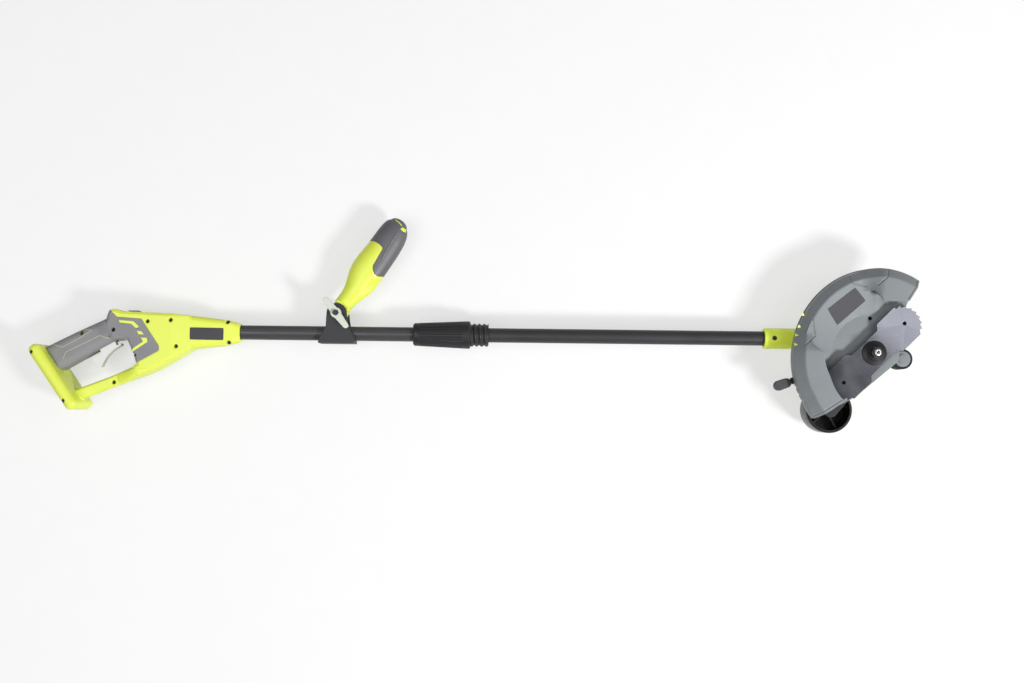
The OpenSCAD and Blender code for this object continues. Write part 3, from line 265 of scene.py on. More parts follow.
# %% Grips, paint and metal
# In each finish below, the darker tone given for hollow corners is painted shade
GRIP = finish("soft_grip", (130, 130, 133), (138, 138, 141), 0.75, grain=900, bump=0.25,
              edge=(154, 154, 157), corner_shade=(104, 103, 106), specular=0.3)
SLEEVE = finish("soft_sleeve", (88, 87, 91), (96, 95, 99), 0.48, grain=900, bump=0.2, edge=(136, 136, 139),
                corner_shade=(74, 73, 76))
RUBBER = finish("rubber", (32, 32, 33), (42, 42, 43), 0.8, grain=600, bump=0.3, specular=0.3)
TUBE = finish("tube_paint", (36, 34, 36), (44, 42, 44), 0.4, bump=0.06, stretch=(0.1, 1, 1, 0),
              edge=(84, 82, 84), specular=0.4)
LOWER_TUBE = finish("lower_tube_paint", (22, 21, 24), (28, 27, 30), 0.42, bump=0.06, stretch=(0.1, 1, 1, 0),
                    edge=(70, 68, 72), specular=0.35)
BLADE = finish("blade_steel", (84, 85, 92), (94, 95, 102), 0.15, metal=0.85, mottle=18, grain=500,
               bump=0.04, stretch=(0.12, 1, 1, -BLADE_ANGLE), edge=(176, 178, 186), scuff=(110, 112, 120))
STEEL = finish("steel", (178, 179, 180), (196, 197, 198), 0.28, metal=0.95, bump=0.06)
DARK = finish("dark_steel", (30, 30, 31), (42, 42, 43), 0.4, metal=0.5, bump=0.1, edge=(96, 96, 98))
BRASS = finish("brass", (196, 160, 84), (208, 176, 104), 0.32, metal=0.95, bump=0.06)
FERRITE = finish("ferrite", (62, 60, 60), (72, 70, 70), 0.7, bump=0.2)
ALLOY = finish("alloy", (168, 170, 172), (182, 184, 186), 0.42, metal=0.85, bump=0.15)
print("metals:", BLADE.name, STEEL.name, TUBE.name)

# %% [markdown]
# ## A two-tone casing
# On the real handle the soft overmould runs from the grip up over the casing's shoulder, so the lime
# stops at a bent line. Two masks of a few straight edges in the casing's own finish draw that line, and
# nothing has to be cut.

# %% Casing finish
PANEL_GREY = srgb(132, 132, 135)
SHOULDER = [(-184.5, 20.3), (-147, 17.8), (-119.3, -23.5), (-119.1, -30.6), (-153.6, -50)]
shoulder_edges = list(zip(SHOULDER, SHOULDER[1:])) + [((-150, -51), (-170, -51)), ((-214, 0), (-214, 9))]
root_edges = [((-190.5, 26.5), (-185.5, 21.1)), ((-230, 15), (-180, 15)), ((-230, 0), (-230, 9))]


def plan_edges(edges):
    """Edges given on the rear handle, as pairs of points in the floor's plane."""
    return [(handle_point(*a, -SHAFT_Z), handle_point(*b, -SHAFT_Z)) for a, b in edges]


zones = [(plan_edges(shoulder_edges), handle_point(-165, -5, -SHAFT_Z), PANEL_GREY),
         (plan_edges(root_edges), handle_point(-200, 18, -SHAFT_Z), PANEL_GREY)]
CASING = lime_finish("casing_plastic", zones)
print("mask edges:", len(shoulder_edges) + len(root_edges))

# %% [markdown]
# ## Dressing the CAD pieces
# A CAD piece keeps its mesh and only takes a finish. One table says which finish goes where, so it is
# easy to see that none is left out.

# %% Finishes of the CAD pieces
node_finishes = {
    CASING: "housing_near housing_far",
    LIME: "handle_core",
    HEAD_LIME_BRIGHTENED: "head_near head_far",
    GRIP: "grip_pad_near grip_pad_far lock_button",
    SLEEVE: "handle_grip",
    BLACK: "switch_module terminal_block lead_plug lead_socket coupling_collar coupling_fitting "
           "coupling_nut motor_end_bell depth_arm outer_flange",
    BRACKET: "handle_bracket",
    TUBE: "upper_tube",
    LOWER_TUBE: "lower_tube",
    GUARD: "guard roller_hub roller_pin",
    BLADE: "blade",
    STEEL: "trigger_spring lock_spring slip_ring motor_can motor_armature spindle_gear spindle "
           "bearing_lower bearing_upper inner_flange",
    DARK: "housing_screws handle_bolt head_screws neck_screw guard_screws arbor_nut wheel_axle",
    GLOSS: "wheel",
    PALE: "wing_knob",
    WHITE: "trigger",
    LEVER: "lever_grip",
    RUBBER: "roller_tyre upper_lead lower_lead",
    BRASS: "battery_contacts motor_pinion",
    FERRITE: "motor_magnets",
    ALLOY: "gear_plate",
}
for mat, names in node_finishes.items():
    for name in names.split():
        nodes[name].data.materials.clear()
        nodes[name].data.materials.append(mat)
print("pieces with a finish:", sum(len(n.split()) for n in node_finishes.values()))

# %% [markdown]
# ## Lofts
# Most new pieces are lofts: rows of points joined into a skin that closes round each row. Curves with a
# bevel could do some of them, but rows of points can change their section freely along the way.


# %% Piece and loft helpers
def add_piece(name, verts, faces, mat, body, smooth=True):
    """A mesh object that rides on a body, with the given finish in its one material slot."""
    mesh = bpy.data.meshes.new(name)
    mesh.from_pydata([tuple(v) for v in verts], [], faces)
    work = bmesh.new()
    work.from_mesh(mesh)
    bmesh.ops.recalc_face_normals(work, faces=work.faces)
    work.to_mesh(mesh)
    work.free()
    mesh.polygons.foreach_set("use_smooth", [smooth] * len(mesh.polygons))
    mesh.materials.append(mat)
    ob = bpy.data.objects.new(name, mesh)
    scene.collection.objects.link(ob)
    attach(ob, body)
    return ob


def loft_faces(rows, n, start=0):
    """Side faces and end caps of a loft with n points in each row."""
    faces = []
    for i in range(rows - 1):
        a, b = start + i * n, start + (i + 1) * n
        faces += [(a + k, a + (k + 1) % n, b + (k + 1) % n, b + k) for k in range(n)]
    last = start + (rows - 1) * n
    return faces + [tuple(range(start, start + n)), tuple(range(last, last + n))]


def ease_step(x):
    """A smooth step from nought to one."""
    x = min(1, max(0, x))
    return x * x * (3 - 2 * x)


print("faces of a loft of three triangles:", len(loft_faces(3, 3)))

# %% [markdown]
# ## Soft edges and moulded skins
# No real edge is perfectly sharp. Two helpers work on CAD pieces through modifiers, which leave their
# meshes alone: one breaks sharp edges with a bevel, and one melts a stepped solid into a smooth moulded
# skin with a voxel remesh.


# %% Edge and skin helpers
def soften_edges(ob, width, segments=2, angle=32):
    """Breaks the edges that are sharper than an angle."""
    weld = ob.modifiers.new("weld", "WELD")
    weld.merge_threshold = 1e-6
    bevel = ob.modifiers.new("edge", "BEVEL")
    bevel.width = width
    bevel.segments = segments
    bevel.limit_method = "ANGLE"
    bevel.angle_limit = math.radians(angle)
    bevel.harden_normals = True


def mould(skins):
    """Melts the stepped edges of solids into smooth skins, each by its voxel in mm and rounds of easing."""
    for name, (voxel, rounds) in skins.items():
        remesh = nodes[name].modifiers.new("skin", "REMESH")
        remesh.mode = "VOXEL"
        remesh.voxel_size = voxel * MM
        remesh.use_smooth_shade = True
        ease = nodes[name].modifiers.new("ease", "SMOOTH")
        ease.factor = 0.5
        ease.iterations = rounds


print("edge and skin helpers ready")

# %% [markdown]
# ## Rear handle
# The real casing is two mouldings with generous radii, and the soft grip flows over them. The CAD
# halves have the radii in two steps, so a voxel skin of about a millimetre melts those into a round.
# A subdivision surface would need clean quads, which a CAD solid doesn't have.

# %% Rear handle skins
handle_skins = {"housing_near": (1.0, 10), "housing_far": (1.0, 10), "grip_pad_near": (0.6, 6),
                "grip_pad_far": (0.6, 6), "lock_button": (0.5, 5)}
mould(handle_skins)
soften_edges(nodes["trigger"], 0.6 * MM)

# %% [markdown]
# ## Where grip and hand bar meet the casing
# The soft overmould swells from the grip up onto the casing's side without a step, and the hand bar
# thickens into the casing in the same way. A short loft of rounded-square sections bridges each of
# them: it starts under the slimmer skin and ends level with the casing.


# %% Leaning frames and bridges
def leaning_frame(lean, x, y):
    """A function for places along, across and above a part of the rear handle that leans from the shaft."""
    turn = Matrix.Rotation(math.radians(lean), 3, "Z")

    def point(along, across, up):
        at = turn @ Vector((along, across, 0)) + Vector((x, y, 0))
        return handle_point(at.x, at.y, up)

    return point


grip_point = leaning_frame(28, -284.5, -44.5)
bar_point = leaning_frame(24.7, -184, -74)
BRIDGE_POINTS, SQUARENESS = 48, 0.55


def squared(c):
    """A sine or cosine pushed outwards, which turns a circle into a rounded square."""
    return math.copysign(abs(c) ** SQUARENESS, c)


def bridge(name, rows, point, mat):
    """A loft of rounded squares; each row is a place along, the reach to both sides, and half the depth."""
    verts = []
    for along, low, high, thick in rows:
        for turn in ring(BRIDGE_POINTS):
            across = (low + high) / 2 + (high - low) / 2 * squared(math.cos(turn))
            verts.append(point(along, across, thick * squared(math.sin(turn))))
    add_piece(name, verts, loft_faces(len(rows), BRIDGE_POINTS), mat, "frame")


print("grip foot at", [round(c, 4) for c in grip_point(0, 0, 0)])

# %% Shoulders
SHOULDER_ROWS = [(72, -11, 15.5, 17.5), (78, -11.5, 16.5, 19.8), (84, -12, 17.2, 21.4),
                 (89, -12.5, 17.6, 23), (93, -13.5, 17.8, 24.4), (96.5, -14.5, 17.8, 25.4),
                 (99.5, -15, 17.4, 25.85)]
BAR_ROWS = [(-4, -8.2, 8, 9.2), (1, -8.4, 8.2, 11.2), (7, -8.6, 8.1, 13.6), (13, -8.8, 7.9, 16.6),
            (19, -9, 7.6, 19.8), (25, -9.2, 7.3, 23), (30, -9.3, 7, 25.2), (34, -9.3, 6.4, 26),
            (38, -9.2, 4.8, 26.15), (44, -9, 1.4, 26.2), (49, -8.6, -2, 26.1)]
bridge("grip_shoulder", SHOULDER_ROWS, grip_point, GRIP)
bridge("bar_shoulder", BAR_ROWS, bar_point, LIME)
print("shoulder rows:", len(SHOULDER_ROWS), "bar rows:", len(BAR_ROWS))

# %% [markdown]
# ## Laying detail on a surface
# Thin lines and plates sit on curved skins. A shrinkwrap modifier could pull them onto a skin, but a ray
# cast straight down onto the finished skin finds the height under each point at once, so the detail hugs
# whatever it lies on.


# %% Surface helpers
def surface_of(*obs):
    """A function from a place in plan to the height of the topmost surface there."""
    bpy.context.view_layer.update()
    graph = bpy.context.evaluated_depsgraph_get()
    trees = [BVHTree.FromObject(ob, graph) for ob in obs]

    def height(x, y, top=0.2):
        hits = [t.ray_cast(Vector((x, y, top)), Vector((0, 0, -1)))[0] for t in trees]
        hits = [h.z for h in hits if h is not None]
        return max(hits) if hits else None

    return height


def curve_through(points, per_span=10):
    """Points on a smooth curve through the given places in plan."""
    p = [Vector(q[:2]) for q in points]
    p = [2 * p[0] - p[1]] + p + [2 * p[-1] - p[-2]]
    out = []
    for a, b, c, d in zip(p, p[1:], p[2:], p[3:]):
        for k in range(per_span):
            t = k / per_span
            out.append(0.5 * (2 * b + (c - a) * t + (2 * a - 5 * b + 4 * c - d) * t * t
                              + (3 * b - a - 3 * c + d) * t ** 3))
    return out + [p[-2]]


def straight_through(points, per_span=14):
    """Points on the straight lines between the given places in plan."""
    p = [Vector(q[:2]) for q in points]
    return [a.lerp(b, k / per_span) for a, b in zip(p, p[1:]) for k in range(per_span)] + [p[-1]]


# A bead's section: across in widths, and up in rises
BEAD = [(-0.5, -0.9), (-0.5, 0), (-0.25, 0.8), (0, 1), (0.25, 0.8), (0.5, 0), (0.5, -0.9)]


def seam_line(name, points, width, rise, height, mat, body, route=curve_through):
    """A low rounded bead laid along a route on a surface, thinner towards its ends."""
    path = [q for q in route(points) if height(q.x, q.y) is not None]
    rows = []
    for i, q in enumerate(path):
        ahead = path[min(i + 1, len(path) - 1)] - path[max(i - 1, 0)]
        side = Vector((-ahead.y, ahead.x)).normalized()
        taper = min(1, i / 4 + 0.25, (len(path) - 1 - i) / 4 + 0.25)
        for across, lift in BEAD:
            at = q + side * width * across * taper
            z = height(at.x, at.y)
            z = height(q.x, q.y) if z is None else z
            rows.append(Vector((at.x, at.y, z + rise * lift)))
    return add_piece(name, rows, loft_faces(len(path), len(BEAD)), mat, body)


def laid_plate(name, corners, rise, height, mat, body, cells=16, round_off=0.12):
    """A thin plate that follows the surface under it, with rounded corners."""
    a, b, c, d = [Vector(q[:2]) for q in corners]
    top, low = [], []
    for i in range(cells + 1):
        for j in range(cells + 1):
            u, v = i / cells * 2 - 1, j / cells * 2 - 1
            pinch = 1 - round_off * (u * v) ** 6
            u, v = u * pinch / 2 + 0.5, v * pinch / 2 + 0.5
            at = (a * (1 - u) + b * u) * (1 - v) + (d * (1 - u) + c * u) * v
            z = height(at.x, at.y)
            top.append((at.x, at.y, z + rise))
            low.append((at.x, at.y, z - rise))
    n = cells + 1
    total = n * n
    faces = []
    for i in range(cells):
        for k in range(i * n, i * n + cells):
            q = (k, k + 1, k + n + 1, k + n)
            faces += [q, tuple(p + total for p in reversed(q))]
    edge = (list(range(n)) + [i * n + cells for i in range(1, n)]
            + [cells * n + j for j in range(cells - 1, -1, -1)] + [i * n for i in range(cells - 1, 0, -1)])
    faces += [(p, q, q + total, p + total) for p, q in zip(edge, edge[1:] + edge[:1])]
    ob = add_piece(name, top + low, faces, mat, body)
    soften_edges(ob, rise * 0.5, 2, 50)
    return ob


print("points in a bead's section:", len(BEAD))

# %% [markdown]
# ## Lines and plate of the rear handle
# Two pale beads run along the soft grip where the overmould was parted, and a bare grey plate is set into
# the nose. Beads and plates laid on the skin keep their crisp width at any distance.

# %% Grip lines and nose plate
grip_top = surface_of(nodes["grip_pad_near"], nodes["housing_near"])
for k, line in enumerate(([(-288.9, -21.4), (-267.5, -26.8), (-241.1, -11.9), (-223.5, -0.5), (-237, 0.5)],
                          [(-266.8, -45.8), (-262.7, -34.6), (-211, -8.2), (-196.3, -13.6)])):
    seam_line("grip_line_%d" % (k + 1), [handle_point(x, y) for x, y in line], 1.1 * MM, 0.25 * MM,
              grip_top, LINE, "frame", straight_through)
nose_top = surface_of(nodes["housing_near"])
nose_corners = [handle_point(x, y) for x, y in ((-73.3, -13.2), (-22.8, -13.4), (-22.8, 5.4), (-73.3, 5.6))]
laid_plate("nose_plate", nose_corners, 0.35 * MM, nose_top, PLATE, "frame", 16, 0.015)
print("grip lines: 2, nose plate height", round(nose_top(nose_corners[0].x, nose_corners[0].y), 4))

# %% [markdown]
# ## Painted shade on the trigger, and springs
# A thin darker strip follows the sweep of the trigger's finger face: painted shade along the edge that
# turns from the light. Behind it and under the lock button sit coils of round wire.


# %% Trigger pieces
def trigger_sweep(along):
    """How far across the grip's frame the trigger's finger face lies."""
    return -27.8 - 16 * ((101 - along) / 42) ** 2.4


SHADE_STRIP_SECTION = [(-0.35, -5.4), (-0.35, 5.4), (0.8, 5.4), (0.8, -5.4)]
SHADE_STRIP_FROM, SHADE_STRIP_LENGTH, SHADE_STRIP_STEPS = 59.5, 40.5, 42
shade_strip_verts = []
for i in range(SHADE_STRIP_STEPS + 1):
    along = SHADE_STRIP_FROM + SHADE_STRIP_LENGTH * i / SHADE_STRIP_STEPS
    shade_strip_verts += [grip_point(along, trigger_sweep(along) + off, up) for off, up in SHADE_STRIP_SECTION]
shade_strip_faces = loft_faces(SHADE_STRIP_STEPS + 1, len(SHADE_STRIP_SECTION))
# Painted shade: a darker strip laid along the trigger's finger face
add_piece("trigger_lip", shade_strip_verts, shade_strip_faces, TRIGGER_EDGE_SHADE, "trigger", smooth=False)
print("lip rows:", SHADE_STRIP_STEPS + 1)

# %% Springs
TURN_STEPS, WIRE_POINTS, WIRE_R = 24, 8, 0.4 * MM
wire_ring = [(math.cos(a), math.sin(a)) for a in ring(WIRE_POINTS)]


def coil_spring(name, node, foot, fixed, radius, curls):
    """A coil from its moving foot to its fixed end."""
    reach = fixed - foot
    length, axis = reach.length, reach.normalized()
    u = reach.cross(Vector((0, 0, 1))).normalized()
    v = axis.cross(u)
    steps = TURN_STEPS * curls
    verts = []
    for i in range(steps + 1):
        turn = 2 * math.pi * i / TURN_STEPS
        out = u * math.cos(turn) + v * math.sin(turn)
        rise = axis * (WIRE_R + (length - 2 * WIRE_R) * i / steps)
        verts += [foot + rise + out * (radius * MM + WIRE_R * c) + axis * WIRE_R * d for c, d in wire_ring]
    ob = add_piece(name, verts, loft_faces(steps + 1, WIRE_POINTS), STEEL, "frame")
    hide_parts(node)
    tuple(axis)
    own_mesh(ob)


coil_spring("trigger_coil", "trigger_spring", grip_point(81, -18.2, 0),
            grip_point(81, -4.1, 0), 2.6, 5)
coil_spring("lock_coil", "lock_spring", handle_point(-165, 22.9), handle_point(-165, 12),
            3, 4)
print("springs: 2")

# %% [markdown]
# ## Screws
# Each casing screw is a pan head with a six-lobed socket, sunk in its hole. A lathe profile gives the
# head and shank, and the socket's ring bulges six times as it turns, so one loop makes every screw.


# %% Screw builder
SCREW_POINTS, LOBES, LOBE_DEPTH = 36, 6, 0.12


def socket_screws(name, node, places, head_r, head_h, shank_r, shank_l):
    """Screws that point down, each with its head's seat at the given place."""
    profile = [(shank_r * 0.6, -shank_l, 0), (shank_r, -shank_l + 1, 0), (shank_r, 0, 0), (head_r, 0, 0),
               (head_r, head_h * 0.55, 0), (head_r * 0.93, head_h * 0.85, 0), (head_r * 0.78, head_h, 0),
               (head_r * 0.52, head_h, LOBE_DEPTH), (head_r * 0.48, head_h * 0.4, LOBE_DEPTH),
               (head_r * 0.1, head_h * 0.3, 0)]
    verts, faces = [], []
    for at in places:
        start = len(verts)
        for r, z, lobe in profile:
            for a in ring(SCREW_POINTS):
                verts.append(at + polar(a, r * (1 + lobe * math.cos(LOBES * a)), z) * MM)
        faces += loft_faces(len(profile), SCREW_POINTS, start)
    ob = add_piece(name, verts, faces, DARK, "frame", smooth=False)
    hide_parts(node)


print("lobes of a socket:", LOBES)

# %% Screw pieces
case_screws = [(-240, -5, 12), (-189.5, 0.5, 16), (-156.5, -38, 16), (-138, 14, 16), (-103, 16.5, 16),
               (-94, -23.5, 16), (-18, 14.7, 7), (-16, -16.2, 7), (-191.5, -79.5, 4), (-309, -35, 32),
               (-258.5, -108.5, 32)]
socket_screws("casing_screws", "housing_screws", [handle_point(*s) for s in case_screws], 2.9, 2.4, 1.6, 14)
head_screw_places = [(-66, 33), (-68, 6), (22, 36), (-8, -42)]
HEAD_SCREW_Z = 47
socket_screws("head_casing_screws", "head_screws",
              [Vector((x, y, HEAD_SCREW_Z)) * MM for x, y in head_screw_places], 3.5, 3.4, 2, 29)
GUARD_SCREW_R = 16.3
guard_screw_places = [polar(math.radians(a), GUARD_SCREW_R, BOSS_TOP + 3) * MM for a in (15, 135, 255)]
socket_screws("guard_plate_screws", "guard_screws", guard_screw_places, 3.3, 2.2, 2, 9)
neck_screw_at = Vector((-138.5, SHAFT_Y, SHAFT_Z + 13.4)) * MM
socket_screws("neck_clamp_screw", "neck_screw", [neck_screw_at], 3.5, 2.4, 2, 6)
print("screws:", len(case_screws) + len(head_screw_places) + len(guard_screw_places) + 1)

# %% [markdown]
# ## Front handle
# A lime arm swells into an oval hand grip whose soft sleeve starts on an S-shaped line: near the bolt
# on one side and far along on the other. The arm's sections are measured along it from the bolt, and
# easing them over a short stretch takes the corners out of the swell.

# %% Front handle sections
BOLT = Vector((BOLT_X, SHAFT_Y + BOLT_UP, SHAFT_Z)) * MM
HANDLE_TURN = Matrix.Rotation(math.radians(55.5), 3, "Z")
ARM_START, HANDLE_END, EASE_REACH = 13, 175, 8
# Along the arm, offset across it, half width, half thickness
ARM_SECTIONS = [(13, -2, 13.4, 11.5), (24, -1, 14.4, 11.7), (40, 0.9, 16.7, 12), (55, 1.1, 22.6, 15),
                (70, -1.3, 25.6, 17.5), (90, -2, 25.8, 18), (122, -0.9, 24.2, 18), (150, -2, 22.8, 17),
                (163, -3.4, 19.1, 14.6), (169, -3.9, 15.6, 11.4), (173, -3.8, 10.6, 7.2),
                (175, -3.6, 3, 2.2)]


def section_at(a):
    """The section at a place along the arm, between the two given ones."""
    for s, t in zip(ARM_SECTIONS, ARM_SECTIONS[1:]):
        if a <= t[0]:
            f = (a - s[0]) / (t[0] - s[0])
            return [u + f * (v - u) for u, v in zip(s, t)]
    return list(ARM_SECTIONS[-1])


def eased_section(a):
    """The section averaged over a short stretch, which rounds the loft's corners."""
    reach = max(0, min(EASE_REACH, a - ARM_START, HANDLE_END - a))
    near = [section_at(a + reach * d) for d in (-1, -0.5, 0, 0.5, 1)]
    return [sum(c) / len(near) for c in zip(*near)]


def arm_point(a, b, z=0.0):
    """A place along, across and above the arm, measured from the bolt."""
    return BOLT + HANDLE_TURN @ (Vector((a, b, z)) * MM)


print("handle half width at 90 mm:", round(eased_section(90)[2], 1))

# %% [markdown]
# ## Arm and sleeve
# The soft sleeve is moulded over the lime arm. A loft of the oval sections gives both, and letting the
# sleeve's first row follow the S-shaped line gives its edge, which a boolean cut would leave ragged. A
# thumb hollow is pressed into the skin where its points are made.

# %% Front handle pieces
HOLLOW_DEPTH, HOLLOW_AT, HOLLOW_LENGTH, HOLLOW_TURN, HOLLOW_WIDTH = 3.2, 60, 13, 0.7, 0.45
ARM_END, UNDER_SLEEVE, SLEEVE_LIFT = 172, -0.6, 0.5
AROUND, ARM_ROWS, SLEEVE_ROWS = 96, 70, 56


def arm_skin(a, turn, lift):
    """A point of the skin; a shallow thumb hollow is pressed into the right-hand side below the sleeve."""
    _, across, wide, thick = eased_section(a)
    along, around = (a - HOLLOW_AT) / HOLLOW_LENGTH, (turn - HOLLOW_TURN) / HOLLOW_WIDTH
    lift -= HOLLOW_DEPTH * math.exp(-along ** 2 - around ** 2)
    return arm_point(a, -across - (wide + lift) * math.cos(turn), (thick + lift) * math.sin(turn))


def sleeve_start(turn):
    """Where the sleeve begins: early on the right-hand side, far along on the left."""
    c = math.cos(turn)
    early = 82 + 5 * ((c - 0.65) / 0.35) ** 2
    late = 124 - 3.5 * ((c + 0.4) / 0.6) ** 2
    return early + (late - early) * ease_step((0.21 - c) / 0.17)


turns = ring(AROUND)
core_verts = []
for i in range(ARM_ROWS):
    a = ARM_START + (ARM_END - ARM_START) * i / (ARM_ROWS - 1)
    core_verts += [arm_skin(a, t, UNDER_SLEEVE if a > sleeve_start(t) + 1 else 0) for t in turns]
arm_core = add_piece("front_arm", core_verts, loft_faces(ARM_ROWS, AROUND), LIME, "front_handle")
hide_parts("handle_core")

# Share of the sleeve's length, and how far the skin stands over the arm
sleeve_steps = [(0, -1.2), (0, 0.1), (0.004, 0.4), (0.012, SLEEVE_LIFT)]
sleeve_steps += [(0.012 + 0.988 * j / SLEEVE_ROWS, SLEEVE_LIFT) for j in range(1, SLEEVE_ROWS + 1)]
sleeve_verts = []
for step, lift in sleeve_steps:
    for t in turns:
        begin = sleeve_start(t)
        sleeve_verts.append(arm_skin(begin + (HANDLE_END - begin) * step, t, lift))
sleeve = add_piece("front_sleeve", sleeve_verts, loft_faces(len(sleeve_steps), AROUND), SLEEVE,
                   "front_handle")
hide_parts("handle_grip")
print("front handle rows:", ARM_ROWS, len(sleeve_steps))

# %% [markdown]
# ## Flat pieces with holes
# Some pieces are flat plates: the arm's root, the panel's flashes and the guard's back plate. Filling an
# outline with its holes and giving it thickness makes one in a single go, with no boolean.


# %% Bored plates
def circle_points(cx, cy, r, n, from_deg=0, to_deg=360):
    """Points round a circle, or along an arc of it with both ends."""
    count = n if to_deg - from_deg == 360 else n + 1
    turns = [math.radians(from_deg + (to_deg - from_deg) * k / n) for k in range(count)]
    return [(cx + r * math.cos(a), cy + r * math.sin(a)) for a in turns]


def bored_plate(name, outline, holes, low, high, mat, body, place=None):
    """A flat plate in millimetres with round-edged holes; place maps a local point into the frame."""
    place = place or (lambda v: v * MM)
    work = bmesh.new()
    edges = []
    for ring in [outline] + holes:
        verts = [work.verts.new((x, y, high)) for x, y in ring]
        edges += [work.edges.new(pair) for pair in zip(verts, verts[1:] + verts[:1])]
    bmesh.ops.triangle_fill(work, use_beauty=True, edges=edges)
    grown = bmesh.ops.extrude_face_region(work, geom=list(work.faces))["geom"]
    grown = [v for v in grown if isinstance(v, bmesh.types.BMVert)]
    bmesh.ops.translate(work, vec=(0, 0, low - high), verts=grown)
    work.verts.index_update()
    verts = [place(v.co) for v in work.verts]
    faces = [tuple(v.index for v in f.verts) for f in work.faces]
    work.free()
    ob = add_piece(name, verts, faces, mat, body, smooth=False)
    soften_edges(ob, 0.5 * MM)
    return ob


print("bored plates ready")

# %% [markdown]
# ## The arm's root and tip
# The root is a flat eye between the bracket's ears, bored for the bolt. A lime inlay marks the tip of the
# sleeve, and a low ridge runs along its middle. Those are laid on the finished skin like the lines of the
# rear handle.

# %% Root, tip and ridge
ROOT_HALF, ROOT_R, BORE_R = 12.1, 13, 4.05
root_outline = circle_points(0, 0, ROOT_R, 24, 90, 270) + [(18, -12), (18, 12)]
bored_plate("front_arm_root", root_outline, [circle_points(0, 0, BORE_R, 32)], -ROOT_HALF, ROOT_HALF, LIME,
            "front_handle", lambda v: arm_point(*v))
sleeve_top = surface_of(sleeve)
tip_line = [arm_point(a, b) for a, b in ((170, 13), (169.3, 3.7), (167.3, -3.9))]
seam_line("sleeve_tip_line", tip_line, 1.3 * MM, 0.4 * MM, sleeve_top, LIME, "front_handle")
tip_patch = [arm_point(a, b) for a, b in ((161.5, -4.6), (162, -13.4), (167.2, -11), (166.6, -4.4))]
laid_plate("sleeve_tip_patch", tip_patch, 0.3 * MM, sleeve_top, LIME, "front_handle", 8,
           0.2)
ridge_line = [arm_point(a, b) for a, b in ((158, -4), (140, -5), (122, -7), (106, -9))]
seam_line("sleeve_ridge", ridge_line, 3.2 * MM, 0.55 * MM, sleeve_top, SLEEVE, "front_handle")
print("root bore", 2 * BORE_R, "mm")

# %% [markdown]
# ## Flashes of the side panel
# Lime flashes are let into the grey panel on both sides of the casing, where the soft overmould leaves the
# plastic under it bare. They are flat, so thin plates with broken edges do, a hair proud of the panel.

# %% Panel flashes
PANEL_FLASHES = [[(-181.2, 15.2), (-158.5, 13.6), (-149.7, 5.2), (-154.8, 3), (-162, 9.6), (-180, 11.4)],
                 [(-154, -0.8), (-145.8, -1.6), (-142, -6.6), (-150.7, -6.2)],
                 [(-147, -10.8), (-137.6, -11.4), (-136.4, -17.6), (-159, -33), (-159.4, -28.4),
                  (-143.6, -17)]]
FLASH_THICK = 1.7
for k, flash in enumerate(PANEL_FLASHES):
    for side, low in (("near", 25.0), ("far", -26.7)):
        bored_plate("panel_flash_%s_%d" % (side, k + 1), flash, [], low, low + FLASH_THICK, LIME, "frame",
                    lambda v: handle_point(*v))
print("flashes on each side:", len(PANEL_FLASHES))

# %% [markdown]
# ## Guard rim
# The guard's rim runs round the blade. Its face stands over the blade tips at both ends and slopes
# down to the back plate in between, where the blade passes in front of it. A section that changes with
# the angle gives the twists smoothly where a plain sweep couldn't, so this cell says what the section is
# at each angle.

# %% Guard section
GUARD_FROM, GUARD_TO = 57.5, 228.0
RIM_BACK, FACE_Z, FACE_DIP = 80.0, 114.0, 14.0
BEVEL_W, BEVEL_H, WALL = 15.0, 16.0, 3.0
BAND_R, RETREAT_R, APRON_R = 77.5, 94.0, 58.0
FOOT_Z = BOSS_TOP + WALL + 0.2
FOLD, BEVEL_ROWS, FACE_ROWS = 0.8, 14, 44
NOTCHES, NOTCH_DEPTH = [200 + 5 * i for i in range(4)], 2.2
# First angle, last angle, and the length over which each change eases in
RETREAT_SPAN, APRON_SPAN, SUNK_SPAN = (80, 182, 12), (99, 163, 8), (82, 180, 18)
GROOVES = [[(-91.3, 51.5), (-86.3, 25.0), (-106, 10.2)], [(-34.6, 127), (-32.4, 105.4), (-11, 99.8)],
           [(24, 127), (16.7, 112.8), (3.8, 101.5)], [(65.5, 109.9), (47.6, 81.1)],
           [(-90.3, -94.9), (-52.2, -70.8)]]
GROOVE_DEPTH, GROOVE_HALF = 1.6, 1.4


def span(deg, begin, end, length):
    """One between two angles and nought outside, eased over a length at both ends."""
    return ease_step((deg - begin) / length) * ease_step((end - deg) / length)


def rim_radius(deg):
    """Outer radius of the rim, which is slightly oval and flares at the far end."""
    return 124 + 6 * math.cos(math.radians(2 * (deg - 67))) + 4 * ease_step((deg - 212) / 16)


def guard_point(deg, r, z):
    """A point of the rim; towards the far end the section leans back."""
    lean = 0.17 * ease_step((deg - 206) / 22) * (rim_radius(deg) - r)
    return polar(math.radians(deg + lean), r, z)


def band_edge(deg):
    """Inner edge of the face, cut back at both ends, in the middle, and again on the slope."""
    straight = BAND_R / math.sin(math.radians(deg)) if deg < 90 else BAND_R
    edge = straight + 9 * ease_step((deg - 205) / 25)
    edge += (RETREAT_R - edge) * span(deg, *RETREAT_SPAN)
    return edge + (APRON_R - RETREAT_R) * span(deg, *APRON_SPAN)


def slope_height(deg, r):
    """Height of the slope that falls from the rim's fold to the back plate, behind the blade."""
    reach = rim_radius(deg) - BEVEL_W - APRON_R - 2 * FOLD
    return FOOT_Z + (FACE_Z - FACE_DIP - FOOT_Z) * (r - APRON_R - FOLD) / reach


